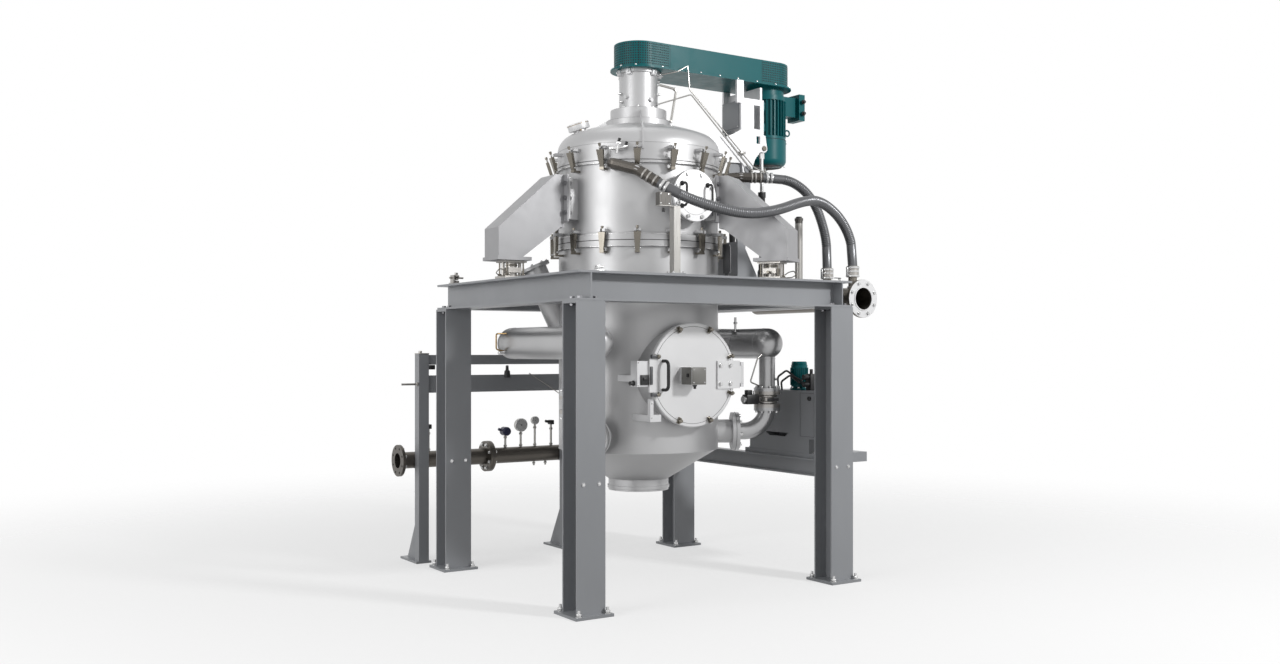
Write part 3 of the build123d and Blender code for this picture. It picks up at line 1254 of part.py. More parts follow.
with BuildPart() as dome_lid:
    with BuildSketch(Plane.XZ):
        with BuildLine():
            dished_outline(0)
        make_face()
    revolve(axis=Axis.Z)
    with BuildSketch(Plane.XY.offset(UPPER_SEAM)):
        Circle(RIM)
    extrude(amount=14)
    add(latch_lugs(LID, UPPER_PIVOT))
    with BuildSketch(Plane.XY.offset(RING_TOP - 60)):
        Circle(RING)
    extrude(amount=60)
    with BuildSketch(Plane.XY.offset(RING_TOP)):
        Circle(NECK)
    extrude(amount=NECK_TOP - RING_TOP)
    for azimuth in RIB_AZIMUTHS:
        with BuildSketch(side_plane(azimuth)):
            with BuildLine():
                Polyline(*[(x, UPPER_SEAM + rise) for x, rise in RIB_OUTLINE], close=True)
            make_face()
        extrude(amount=6, both=True)
    port_plane = Plane((PORT_TURN[0], PORT_TURN[1], UPPER_SEAM + 254), z_dir=PORT_TURN)
    with BuildSketch(port_plane.offset(-12)):
        Circle(46)
    extrude(amount=52)
    with BuildSketch(port_plane.offset(40)):
        Circle(62)
    extrude(amount=18)
    with BuildSketch(Plane.XZ):
        with BuildLine():
            dished_outline(WALL)
        make_face()
    revolve(axis=Axis.Z, mode=Mode.SUBTRACT)
    with BuildSketch(Plane.XY.offset(UPPER_SEAM)):
        Circle(BEARING_BORE + SEAT_GAP)
    extrude(amount=NECK_TOP - UPPER_SEAM, mode=Mode.SUBTRACT)
dome_lid.part.label = "dome_lid"
export_step(dome_lid.part, "parts/dome_lid.step")

# Bearing housing on the lid's neck
HOUSING_TOP = GUARD_BOTTOM - GUARD_BASE
HOUSING_FOOT = UPPER_SEAM + 232.0
with BuildPart() as bearing_housing:
    for radius, low, high in (
        (BEARING_BORE, HOUSING_FOOT, NECK_TOP), (HOUSING + 22, NECK_TOP, NECK_TOP + 14),
        (HOUSING, NECK_TOP, HOUSING_TOP), (HOUSING + 14, HOUSING_TOP - 22, HOUSING_TOP),
    ):
        with BuildSketch(Plane.XY.offset(low)):
            Circle(radius)
        extrude(amount=high - low)
    for azimuth, rise in ((-20, 225), (-160, 85), (-85, 65)):
        with BuildSketch(radial_plane(azimuth, HOUSING - 6, NECK_TOP + rise)):
            Circle(13)
        extrude(amount=24)
    with BuildSketch(Plane.XY.offset(HOUSING_FOOT)):
        Circle(SHAFT + RUNNING_GAP)
    extrude(amount=HOUSING_TOP - HOUSING_FOOT, mode=Mode.SUBTRACT)
bearing_housing.part.label = "bearing_housing"
export_step(bearing_housing.part, "parts/bearing_housing.step")

# Belt guard and its base plate
GUARD_LIP = 27.0
SHAFT_HOLE = 45.0
with BuildPart() as guard_base:
    with BuildSketch(Plane((MOTOR_X / 2, 0, HOUSING_TOP))):
        SlotCenterToCenter(MOTOR_X, 2 * (GUARD_HALF + GUARD_LIP))
        with Locations((-MOTOR_X / 2, 0), (MOTOR_X / 2, 0)):
            Circle(SHAFT_HOLE, mode=Mode.SUBTRACT)
    extrude(amount=GUARD_BASE)
guard_base.part.label = "guard_base"
export_step(guard_base.part, "parts/guard_base.step")

with BuildPart() as belt_guard:
    with BuildSketch(Plane((MOTOR_X / 2, 0, GUARD_BOTTOM))):
        SlotCenterToCenter(MOTOR_X, 2 * GUARD_HALF)
    extrude(amount=GUARD_TOP - GUARD_BOTTOM)
    with BuildSketch(Plane((MOTOR_X / 2, 0, GUARD_BOTTOM))):
        SlotCenterToCenter(MOTOR_X, 2 * (GUARD_HALF - GUARD_WALL))
    extrude(amount=GUARD_TOP - GUARD_BOTTOM - GUARD_WALL, mode=Mode.SUBTRACT)
belt_guard.part.label = "belt_guard"
export_step(belt_guard.part, "parts/belt_guard.step")

# Belt, pulleys and shafts
BELT_THICK = 8.0
BELT_SIDE = 7.0
with BuildPart() as drive_belt:
    for extra, mode in ((BELT_THICK, Mode.ADD), (0, Mode.SUBTRACT)):
        with BuildSketch(Plane.XY.offset(PULLEY_BOTTOM + BELT_SIDE)):
            Circle(PULLEY_DRIVEN + SEAT_GAP + extra)
            with Locations((MOTOR_X, 0)):
                Circle(PULLEY_MOTOR + SEAT_GAP + extra)
            make_hull()
        extrude(amount=PULLEY_HEIGHT - 2 * BELT_SIDE, mode=mode)
drive_belt.part.label = "drive_belt"
export_step(drive_belt.part, "parts/drive_belt.step")

for name, x, radius, shaft in (
    ("driven_pulley", 0, PULLEY_DRIVEN, SHAFT), ("motor_pulley", MOTOR_X, PULLEY_MOTOR, MOTOR_SHAFT),
):
    with BuildPart() as pulley:
        with BuildSketch(Plane((x, 0, PULLEY_BOTTOM))):
            Circle(radius)
            Circle(shaft + SEAT_GAP, mode=Mode.SUBTRACT)
        extrude(amount=PULLEY_HEIGHT)
        with BuildSketch(Plane((x, 0, PULLEY_BOTTOM + PULLEY_HEIGHT))):
            Circle(radius - 16)
            Circle(shaft + 24, mode=Mode.SUBTRACT)
        extrude(amount=-18, mode=Mode.SUBTRACT)
    pulley.part.label = name
    export_step(pulley.part, f"parts/{name}.step")

WHEEL_BOTTOM = WHEEL_TOP - WHEEL_HEIGHT
DISC = 14.0
SHAFT_TOP = PULLEY_BOTTOM + PULLEY_HEIGHT + 6
with BuildPart() as rotor_shaft:
    with BuildSketch(Plane.XY.offset(WHEEL_TOP - 60)):
        Circle(SHAFT)
    extrude(amount=SHAFT_TOP - WHEEL_TOP + 60)
    with BuildSketch(Plane.XY.offset(WHEEL_TOP)):
        Circle(SHAFT + 16)
    extrude(amount=40)
rotor_shaft.part.label = "rotor_shaft"
export_step(rotor_shaft.part, "parts/rotor_shaft.step")

with BuildPart() as classifier_wheel:
    with BuildSketch(Plane.XY.offset(WHEEL_TOP)):
        Circle(WHEEL)
    extrude(amount=-DISC)
    with BuildSketch(Plane.XY.offset(WHEEL_TOP)):
        Circle(SHAFT + 26)
    extrude(amount=-60)
    with BuildSketch(Plane.XY.offset(WHEEL_BOTTOM)):
        Circle(WHEEL)
        Circle(WHEEL * 0.6, mode=Mode.SUBTRACT)
    extrude(amount=DISC)
    with BuildSketch(Plane.XY.offset(WHEEL_BOTTOM)):
        with PolarLocations(WHEEL - 33, WHEEL_BLADES):
            Rectangle(62, 5)
    extrude(amount=WHEEL_HEIGHT - 1)
    with BuildSketch(Plane.XY.offset(WHEEL_TOP)):
        Circle(SHAFT + SEAT_GAP)
    extrude(amount=-60, mode=Mode.SUBTRACT)
classifier_wheel.part.label = "classifier_wheel"
export_step(classifier_wheel.part, "parts/classifier_wheel.step")

with BuildPart() as motor_shaft:
    with BuildSketch(Plane((MOTOR_X, 0, MOTOR_TOP - 60))):
        Circle(MOTOR_SHAFT)
    extrude(amount=SHAFT_TOP - MOTOR_TOP + 60)
motor_shaft.part.label = "motor_shaft"
export_step(motor_shaft.part, "parts/motor_shaft.step")

# Motor bracket: two plates beside the lid and the motor, a motor plate and two posts under the guard
MOTOR_PLATE_X = 957.0
MOTOR_PLATE_TOP = HOUSING_TOP - 30.0
MOTOR_PLATE_BOTTOM = LUG_Z + 96.0
WEB_TOP = HOUSING_TOP - 128.0
WEB_BOTTOM = LUG_Z + 124.0
WEB_LEFT = {-1: 766.0, 1: 922.0}
POST_LEFT = 727.0
POST_WIDTH = 62.0
with BuildPart() as motor_bracket:
    for side, web_left in WEB_LEFT.items():
        with BuildSketch(Plane.XZ.offset(-side * PLATE_Y)):
            with BuildLine():
                Polyline(
                    (420, LUG_Z + 36), (623, LUG_Z + 53), (692, LUG_Z + 82), (764, WEB_BOTTOM - 2),
                    (web_left, WEB_BOTTOM),
                    (web_left, WEB_TOP), (977, WEB_TOP), (977, MOTOR_PLATE_BOTTOM), (994, MOTOR_PLATE_BOTTOM),
                    (1011, LUG_Z), (LUG_X, LUG_Z - LUG), (945, LUG_Z - LUG), (896, HINGE_Z + 82),
                    (872, HINGE_Z + 20), (872, HINGE_Z), (HINGE_X, HINGE_Z - 48), (776, HINGE_Z),
                    (771, HINGE_Z + 43), (600, HINGE_Z + 36), (500, HINGE_Z + 30), close=True,
                )
            make_face()
            with Locations((HINGE_X, HINGE_Z)):
                Circle(48)
                Circle(HINGE_PIN + RUNNING_GAP, mode=Mode.SUBTRACT)
            with Locations((LUG_X, LUG_Z)):
                Circle(LUG)
                Circle(10, mode=Mode.SUBTRACT)
            if side < 0:
                with Locations((914, LUG_Z + 225)):
                    Rectangle(57, 176, mode=Mode.SUBTRACT)
            with Locations((926, LUG_Z + 58)):
                Rectangle(34, 56, mode=Mode.SUBTRACT)
        extrude(amount=PLATE_THICK / 2, both=True)
    inside = PLATE_Y - PLATE_THICK / 2
    with Locations((MOTOR_PLATE_X, 0, MOTOR_PLATE_BOTTOM)):
        Box(20, 2 * inside, MOTOR_PLATE_TOP - MOTOR_PLATE_BOTTOM, align=(Align.MIN, Align.CENTER, Align.MIN))
    with Locations((POST_LEFT, -inside, HOUSING_TOP)):
        Box(POST_WIDTH, PLATE_THICK, HOUSING_TOP - WEB_TOP + 40, align=(Align.MIN, Align.MAX, Align.MAX))
    with Locations((977, inside, HOUSING_TOP)):
        Box(POST_WIDTH, PLATE_THICK, HOUSING_TOP - WEB_TOP + 40, align=(Align.MAX, Align.MIN, Align.MAX))
    with Locations((640, 0, LUG_Z + 36)):
        Box(20, 2 * inside, 30, align=(Align.MIN, Align.CENTER, Align.MAX))
    with BuildSketch(Plane.XZ):
        with BuildLine():
            dished_outline(-SEAT_GAP)
        make_face()
    revolve(axis=Axis.Z, mode=Mode.SUBTRACT)
    with BuildSketch(Plane.XY.offset(UPPER_SEAM - 1)):
        Circle(LATCH_RADIUS + 20)
    extrude(amount=95, mode=Mode.SUBTRACT)
motor_bracket.part.label = "motor_bracket"
export_step(motor_bracket.part, "parts/motor_bracket.step")

with BuildPart() as junction_box:
    with Locations((WEB_LEFT[-1] + 2, -inside, WEB_BOTTOM + 6)):
        Box(100, 216, WEB_TOP - WEB_BOTTOM - 20, align=(Align.MIN, Align.MIN, Align.MIN))
    with Locations((WEB_LEFT[-1] + 40, -inside + 60, WEB_TOP - 14)):
        Cylinder(16, 22, align=(Align.CENTER, Align.CENTER, Align.MIN))
junction_box.part.label = "junction_box"
export_step(junction_box.part, "parts/junction_box.step")

# Drive motor
FIN_LOW = MOTOR_TOP - 364.0
FIN_HIGH = MOTOR_TOP - 90.0
COWL_TOP = MOTOR_TOP - 386.0
COWL_BOTTOM = MOTOR_TOP - 585.0
COWL_EDGE = 44.0
EYE_X = 1385.0
EYE_Z = MOTOR_TOP - 302.0
EYE = 22.0
EYE_BAR = 6.0
with BuildPart() as drive_motor:
    with BuildSketch(Plane((MOTOR_X, 0, COWL_TOP))):
        Circle(MOTOR - 18)
    extrude(amount=MOTOR_TOP - COWL_TOP)
    for low, high in ((COWL_TOP, FIN_LOW), (FIN_HIGH, MOTOR_TOP - 55)):
        with BuildSketch(Plane((MOTOR_X, 0, low))):
            Circle(MOTOR - 3)
        extrude(amount=high - low)
    with BuildSketch(Plane((MOTOR_X, 0, FIN_LOW))):
        with PolarLocations(MOTOR - 14, 32):
            Rectangle(26, 6)
    extrude(amount=FIN_HIGH - FIN_LOW)
    with Locations([(977, y, FIN_LOW + rise) for y in (-112, 112) for rise in (54, 214)]):
        Box(80, 44, 60, align=(Align.MIN, Align.CENTER, Align.CENTER))
    with BuildSketch(Plane((MOTOR_X, 0, MOTOR_TOP - 60))):
        Circle(MOTOR_SHAFT + RUNNING_GAP)
    extrude(amount=60, mode=Mode.SUBTRACT)
    with BuildSketch(radial_plane(0, MOTOR_X + MOTOR - 30, EYE_Z)):
        Circle(7)
    extrude(amount=EYE_X - EYE - MOTOR_X - MOTOR + 30)
    with Locations(Plane((EYE_X, 0, EYE_Z), (1, 0, 0), (0, -1, 0))):
        Torus(EYE, EYE_BAR)
drive_motor.part.label = "drive_motor"
export_step(drive_motor.part, "parts/drive_motor.step")

with BuildPart() as fan_cowl:
    with BuildSketch(Plane((MOTOR_X, 0, COWL_BOTTOM))):
        Circle(MOTOR)
    extrude(amount=COWL_TOP - COWL_BOTTOM)
    fillet(fan_cowl.faces().sort_by(Axis.Z)[0].edges(), COWL_EDGE)
fan_cowl.part.label = "fan_cowl"
export_step(fan_cowl.part, "parts/fan_cowl.step")

BOX_LEFT = 1452.0
BOX_THICK = 57.0
BOX_BOTTOM = MOTOR_TOP - 203.0
with BuildPart() as terminal_box:
    with Locations((BOX_LEFT, 5, BOX_BOTTOM)):
        Box(BOX_THICK, 140, 203, align=(Align.MIN, Align.CENTER, Align.MIN))
    with Locations((MOTOR_X, 20, BOX_BOTTOM + 28)):
        Box(BOX_LEFT + 8 - MOTOR_X, 96, 150, align=(Align.MIN, Align.CENTER, Align.MIN))
    with BuildSketch(Plane.XZ.offset(65)):
        with Locations((BOX_LEFT + 28, BOX_BOTTOM + 53), (BOX_LEFT + 28, BOX_BOTTOM + 143)):
            Circle(17)
    extrude(amount=16)
    with BuildSketch(Plane((MOTOR_X, 0, COWL_TOP + 86))):
        Circle(MOTOR - 1 + SEAT_GAP)
    extrude(amount=300, mode=Mode.SUBTRACT)
terminal_box.part.label = "terminal_box"
export_step(terminal_box.part, "parts/terminal_box.step")
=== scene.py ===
"""Finishes, small fittings, studio and camera for a loop jet mill on its steel table.

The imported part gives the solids. This script dresses them: it gives every solid its finish, makes the
two spiral hoses along their routes, and adds the fasteners, pipework and trim that are too small for
the solids. All sizes are in metres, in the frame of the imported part.
"""

import json
import logging
import math
from abc import ABC, abstractmethod
from dataclasses import dataclass, field
from enum import Enum
from typing import ClassVar

import bpy
from mathutils import Matrix, Vector

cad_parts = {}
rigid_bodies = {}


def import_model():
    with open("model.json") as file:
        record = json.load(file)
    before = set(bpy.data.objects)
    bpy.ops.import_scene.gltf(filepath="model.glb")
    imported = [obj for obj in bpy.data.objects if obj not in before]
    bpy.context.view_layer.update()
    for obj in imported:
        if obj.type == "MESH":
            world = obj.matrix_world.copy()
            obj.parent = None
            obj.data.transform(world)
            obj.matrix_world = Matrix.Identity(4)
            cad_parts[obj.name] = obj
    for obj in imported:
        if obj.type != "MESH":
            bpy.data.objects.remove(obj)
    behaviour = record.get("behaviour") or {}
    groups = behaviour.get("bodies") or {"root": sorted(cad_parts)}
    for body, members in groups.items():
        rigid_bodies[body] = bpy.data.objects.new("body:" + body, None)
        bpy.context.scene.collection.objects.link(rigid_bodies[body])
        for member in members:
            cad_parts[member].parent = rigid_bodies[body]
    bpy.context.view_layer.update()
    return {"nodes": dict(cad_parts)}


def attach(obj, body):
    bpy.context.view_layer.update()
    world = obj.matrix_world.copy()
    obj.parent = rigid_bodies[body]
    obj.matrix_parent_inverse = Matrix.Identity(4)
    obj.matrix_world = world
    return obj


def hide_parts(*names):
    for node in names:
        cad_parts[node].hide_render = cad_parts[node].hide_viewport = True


LOG = logging.getLogger("jet_mill")
Pair = tuple[float, float]
Triple = tuple[float, float, float]
Colour = Triple
Point = Triple
Piece = bpy.types.Object
Socket = bpy.types.NodeSocket

UP: Point = (0, 0, 1)
DOWN: Point = (0, 0, -1)
LEFT: Point = (-1, 0, 0)
RIGHT: Point = (1, 0, 0)
FRONT: Point = (0, -1, 0)
BACK: Point = (0, 1, 0)
SIDES = (-1, 1)


class Body(Enum):
    """The bodies of the mill that carry fittings."""

    MILL = "mill"
    HEAD = "head"
    DOOR = "door"


class Axis(Enum):
    """A direction of the frame."""

    X = "x"
    Y = "y"
    Z = "z"


class NodeSheet:
    """A material's node tree with short calls for the nodes that the finishes share."""

    def __init__(self, name: str) -> None:
        """Starts a material.

        Args:
            name: the material's name.
        """
        self.material = bpy.data.materials.new(name)
        self.material.use_nodes = True
        self.tree = self.material.node_tree
        self.shader = self.tree.nodes["Principled BSDF"]
        self.coords = self.add("ShaderNodeTexCoord")

    def add(self, kind: str, **settings: object) -> bpy.types.Node:
        """Adds a node.

        Args:
            kind: the node's type.
            settings: values for its input sockets, or attributes of the node.

        Returns:
            The new node.
        """
        node = self.tree.nodes.new(kind)
        for key, value in settings.items():
            if hasattr(node, key):
                setattr(node, key, value)
            else:
                node.inputs[key.replace("_", " ")].default_value = value
        return node

    def link(self, source: Socket, target: Socket) -> None:
        """Joins two sockets of the tree."""
        self.tree.links.new(source, target)

    def noise(self, scale: float, detail: float = 4.0, stretch: Point = (1.0, 1.0, 1.0)) -> Socket:
        """A noise pattern on the piece's own coordinates.

        Args:
            scale: how fine the pattern is.
            detail: the number of octaves.
            stretch: scale factors along the frame's directions.

        Returns:
            The pattern's value socket.
        """
        mapping = self.add("ShaderNodeMapping")
        mapping.inputs["Scale"].default_value = stretch
        self.link(self.coords.outputs["Object"], mapping.inputs["Vector"])
        texture = self.add("ShaderNodeTexNoise", Scale=scale, Detail=detail)
        self.link(mapping.outputs["Vector"], texture.inputs["Vector"])
        return texture.outputs["Fac"]

    def spread(self, source: Socket, low: float, high: float, start: float = 0.3,
               end: float = 0.7) -> Socket:
        """Maps the middle of a pattern, or another part of it, to a range of values.

        Args:
            source: a value from 0 to 1.
            low: the value at the part's low end.
            high: the value at its high end.
            start: where the part starts.
            end: where it ends.

        Returns:
            The mapped value socket.
        """
        node = self.add("ShaderNodeMapRange")
        for socket, value in (("From Min", start), ("From Max", end), ("To Min", low), ("To Max", high)):
            node.inputs[socket].default_value = value
        self.link(source, node.inputs["Value"])
        return node.outputs["Result"]

    def blend(self, source: Socket, first: Colour, second: Colour) -> Socket:
        """Blends two colours by a pattern.

        Args:
            source: a value from 0 to 1.
            first: the colour at the low end.
            second: the colour at the high end.

        Returns:
            The colour socket.
        """
        node = self.add("ShaderNodeMix", data_type="RGBA")
        for socket, value in zip([s for s in node.inputs if s.type == "RGBA"], (first, second)):
            socket.default_value = (*value, 1.0)
        self.link(self.spread(source, 0.0, 1.0), node.inputs["Factor"])
        return next(s for s in node.outputs if s.type == "RGBA")

    def relief(self, sources: list[tuple[Socket, float]], distance: float) -> None:
        """Adds surface relief from patterns.

        Args:
            sources: pairs of a pattern and its strength.
            distance: the depth of the relief.
        """
        previous = None
        for source, strength in sources:
            bump = self.add("ShaderNodeBump", Strength=strength, Distance=distance)
            self.link(source, bump.inputs["Height"])
            if previous is not None:
                self.link(previous.outputs["Normal"], bump.inputs["Normal"])
            previous = bump
        if previous is not None:
            self.link(previous.outputs["Normal"], self.shader.inputs["Normal"])


def shade(colour: Colour, factor: float) -> Colour:
    """A colour made lighter or darker.

    Args:
        colour: linear red, green and blue.
        factor: the factor on all three.

    Returns:
        The new colour.
    """
    return (min(colour[0] * factor, 1.0), min(colour[1] * factor, 1.0), min(colour[2] * factor, 1.0))


@dataclass(frozen=True)
class Finish(ABC):
    """What every finish has: a name, a colour, and how rough and metallic it is."""

    name: str
    colour: Colour
    roughness: float
    metallic: float = 0.0
    variation: float = 0.06

    @abstractmethod
    def dress(self, nodes: NodeSheet) -> None:
        """Adds the patterns of this kind of finish.

        Args:
            nodes: the material's nodes.
        """

    def build(self) -> bpy.types.Material:
        """Makes the material.

        Returns:
            The finished material.
        """
        nodes = NodeSheet(self.name)
        nodes.shader.inputs["Metallic"].default_value = self.metallic
        self.dress(nodes)
        return nodes.material

    def tint(self, nodes: NodeSheet, pattern: Socket) -> None:
        """Makes the colour lighter and darker by a pattern.

        Args:
            nodes: the material's nodes.
            pattern: a value from 0 to 1.
        """
        dark, light = (shade(self.colour, 1 + sign * self.variation) for sign in SIDES)
        nodes.link(nodes.blend(pattern, dark, light), nodes.shader.inputs["Base Color"])

    def wear(self, nodes: NodeSheet, pattern: Socket, less: float, more: float) -> None:
        """Varies the roughness by a pattern.

        Args:
            nodes: the material's nodes.
            pattern: a value from 0 to 1.
            less: how much smoother the surface gets.
            more: how much rougher it gets.
        """
        rough = nodes.spread(pattern, self.roughness - less, self.roughness + more)
        nodes.link(rough, nodes.shader.inputs["Roughness"])


@dataclass(frozen=True)
class BlastedSteel(Finish):
    """Bead blasted stainless steel: an even, fine grain with faint clouds from handling."""

    grain: float = 900.0
    relief: float = 0.1
    clouds: float = 1.6
    patches: float = 6.0
    waves: float = 5.0
    depth: float = 0.0006

    def dress(self, nodes: NodeSheet) -> None:
        """Adds the clouds, the worn patches, the grain and very shallow waves.

        Args:
            nodes: the material's nodes.
        """
        self.tint(nodes, nodes.noise(self.clouds, 5.0))
        self.wear(nodes, nodes.noise(self.patches, 6.0), 0.035, 0.045)
        grain, waves = nodes.noise(self.grain, 2.0), nodes.noise(self.waves, 2.0)
        nodes.relief([(grain, self.relief), (waves, 0.04)], self.depth)


@dataclass(frozen=True)
class BrushedSteel(Finish):
    """Stainless steel brushed in one direction, with fine lines and darker handling marks."""

    along: Axis = Axis.Z
    lines: float = 260.0
    clouds: float = 5.0
    stretch: float = 0.03
    relief: float = 0.12
    depth: float = 0.0004

    def dress(self, nodes: NodeSheet) -> None:
        """Adds the clouds and the brushed lines.

        Args:
            nodes: the material's nodes.
        """
        x, y, z = (self.stretch if axis is self.along else 1.0 for axis in Axis)
        line = nodes.noise(self.lines, 3.0, (x, y, z))
        self.tint(nodes, nodes.noise(self.clouds, 5.0))
        self.wear(nodes, line, 0.06, 0.07)
        nodes.relief([(line, self.relief)], self.depth)


@dataclass(frozen=True)
class PostSteel(BrushedSteel):
    """Brushed steel posts whose sensor heads, above a height, are grey castings."""

    head: Colour = (0.11, 0.105, 0.098)
    height: float = 2.522

    def dress(self, nodes: NodeSheet) -> None:
        """Adds the brushed steel, then the colour of the heads above it.

        Args:
            nodes: the material's nodes.
        """
        super().dress(nodes)
        base = nodes.shader.inputs["Base Color"]
        steel = base.links[0].from_socket
        split = nodes.add("ShaderNodeSeparateXYZ")
        nodes.link(nodes.coords.outputs["Object"], split.inputs["Vector"])
        above = nodes.add("ShaderNodeMath", operation="GREATER_THAN")
        above.inputs[1].default_value = self.height
        nodes.link(split.outputs["Z"], above.inputs[0])
        mix = nodes.add("ShaderNodeMix", data_type="RGBA")
        first, second = [socket for socket in mix.inputs if socket.type == "RGBA"]
        second.default_value = (*self.head, 1.0)
        nodes.link(above.outputs["Value"], mix.inputs["Factor"])
        nodes.link(steel, first)
        nodes.link(next(socket for socket in mix.outputs if socket.type == "RGBA"), base)


@dataclass(frozen=True)
class SprayPaint(Finish):
    """Sprayed paint: an orange peel skin with a thin coat, a little dust and worn spots."""

    coat: float = 0.25
    peel: float = 0.06
    gloss: float = 0.5
    coat_roughness: float = 0.28
    dust: float = 2.2
    dust_fall: float = 0.45
    spots: float = 14.0
    peel_scale: float = 220.0
    depth: float = 0.0008

    def dress(self, nodes: NodeSheet) -> None:
        """Adds the coat, the dust, the worn spots and the orange peel.

        Args:
            nodes: the material's nodes.
        """
        for socket, value in (("Coat Weight", self.coat), ("Coat Roughness", self.coat_roughness),
                              ("Specular IOR Level", self.gloss)):
            nodes.shader.inputs[socket].default_value = value
        self.tint(nodes, nodes.noise(self.dust, 6.0, (1.0, 1.0, self.dust_fall)))
        self.wear(nodes, nodes.noise(self.spots, 5.0), 0.05, 0.06)
        nodes.relief([(nodes.noise(self.peel_scale, 2.0), self.peel)], self.depth)


@dataclass(frozen=True)
class Moulded(Finish):
    """Moulded plastic, rubber or cast metal with a fine leathery grain."""

    grain: float = 420.0
    clouds: float = 12.0
    patches: float = 30.0
    relief: float = 0.15
    depth: float = 0.0004

    def dress(self, nodes: NodeSheet) -> None:
        """Adds the clouds, the worn patches and the grain.

        Args:
            nodes: the material's nodes.
        """
        self.tint(nodes, nodes.noise(self.clouds))
        self.wear(nodes, nodes.noise(self.patches), 0.07, 0.08)
        nodes.relief([(nodes.noise(self.grain, 2.0), self.relief)], self.depth)


VESSEL = BlastedSteel("vessel_steel", (0.52, 0.52, 0.525), 0.4, 0.5)
HEADER = BlastedSteel("header_steel", (0.45, 0.45, 0.455), 0.32, 0.8)
PIPE = BrushedSteel("pipe_steel", (0.4, 0.385, 0.365), 0.33, 0.9)
SILVER = BrushedSteel("gauge_steel", (0.42, 0.41, 0.39), 0.3, 0.85)
POST = PostSteel("post_steel", (0.42, 0.41, 0.39), 0.32, 0.7)
MANIFOLD = BrushedSteel("manifold_steel", (0.2, 0.182, 0.16), 0.36, 0.9, along=Axis.Y)
SUPPLY = BrushedSteel("supply_steel", (0.115, 0.105, 0.093), 0.36, 0.9, along=Axis.X)
STUB = BrushedSteel("stub_steel", (0.105, 0.096, 0.086), 0.3, 0.9, along=Axis.Y)
LATCH = BrushedSteel("latch_steel", (0.2, 0.184, 0.158), 0.26, 0.9, 0.14)
PLATE = BrushedSteel("milled_plate", (0.74, 0.74, 0.75), 0.42, 0.35, 0.03, lines=180.0)
COVER = BlastedSteel("cover_steel", (0.72, 0.72, 0.725), 0.42, 0.45, 0.03)
BRIGHT = BrushedSteel("bright_steel", (0.62, 0.62, 0.62), 0.24, 0.95)
CAST = Moulded("black_cast_iron", (0.03, 0.03, 0.032), 0.45, 0.3)
FRAME_PAINT = SprayPaint("frame_paint", (0.315, 0.325, 0.342), 0.44)
DARK_PAINT = SprayPaint("dark_grey_paint", (0.085, 0.088, 0.095), 0.42)
ARM_PAINT = SprayPaint("arm_paint", (0.37, 0.37, 0.38), 0.42, 0.25, coat=0.05)
LAMP_GREY = SprayPaint("lamp_grey_paint", (0.215, 0.21, 0.195), 0.42, coat=0.05)
TEAL = SprayPaint("teal_paint", (0.0, 0.118, 0.13), 0.4, coat=0.06, gloss=0.22)
SHADOW = Moulded("hole_shadow", (0.004, 0.012, 0.014), 0.7)
SEAM = Moulded("seam_shadow", (0.05, 0.05, 0.052), 0.7)
WELD = BlastedSteel("weld_steel", (0.3, 0.3, 0.3), 0.45, 0.6)
BLACK = Moulded("black_plastic", (0.014, 0.014, 0.015), 0.42)
SEAL = Moulded("seal_rubber", (0.02, 0.02, 0.021), 0.6)
WHITE = Moulded("white_enamel", (0.72, 0.72, 0.71), 0.35)
HOSE = BrushedSteel("spiral_hose", (0.14, 0.142, 0.148), 0.36, 0.8, 0.12)
BLUE = Moulded("transmitter_blue", (0.012, 0.014, 0.06), 0.35)
BRASS = BrushedSteel("brass", (0.3, 0.2, 0.09), 0.34, 0.9)
ZINC = BrushedSteel("zinc_plated_bolts", (0.22, 0.22, 0.23), 0.36, 0.8)

NODE_FINISHES: dict[Finish, tuple[str, ...]] = {
    VESSEL: ("grinding_chamber", "classifier_housing", "dome_lid", "bearing_housing", "feed_chute"),
    HEADER: ("air_header_left", "air_header_right", "air_pipe_left", "air_pipe_right", "air_pipe_rear"),
    COVER: ("port_cover", "chamber_door"),
    PIPE: ("air_valves", "load_cells", "hose_couplings"),
    SILVER: ("supply_gauges",),
    POST: ("sensor_posts",),
    MANIFOLD: ("purge_manifold",),
    SUPPLY: ("supply_pipe",),
    LATCH: ("upper_latches", "lower_latches", "door_clamps"),
    PLATE: ("motor_bracket", "door_hinge", "door_interlock"),
    ZINC: ("frame_bolts",),
    BRIGHT: ("port_bolts", "rotor_shaft", "motor_shaft", "lift_rods", "grinding_nozzles",
             "classifier_wheel"),
    CAST: ("lift_barrels", "driven_pulley", "motor_pulley"),
    FRAME_PAINT: ("column_front_left", "column_front_right", "column_rear_left", "column_rear_right",
                  "table_frame", "hinge_pedestal", "power_unit_tank", "power_unit_shelf", "lift_feet",
                  "junction_box", "supply_stand"),
    ARM_PAINT: ("support_arm_left", "support_arm_front", "support_arm_rear"),
    TEAL: ("belt_guard", "guard_base", "drive_motor", "fan_cowl", "terminal_box", "power_unit_motor"),
    BLACK: ("port_handles", "door_handle"),
    SEAL: ("drive_belt",),
    HOSE: ("hose_front", "hose_rear"),
}


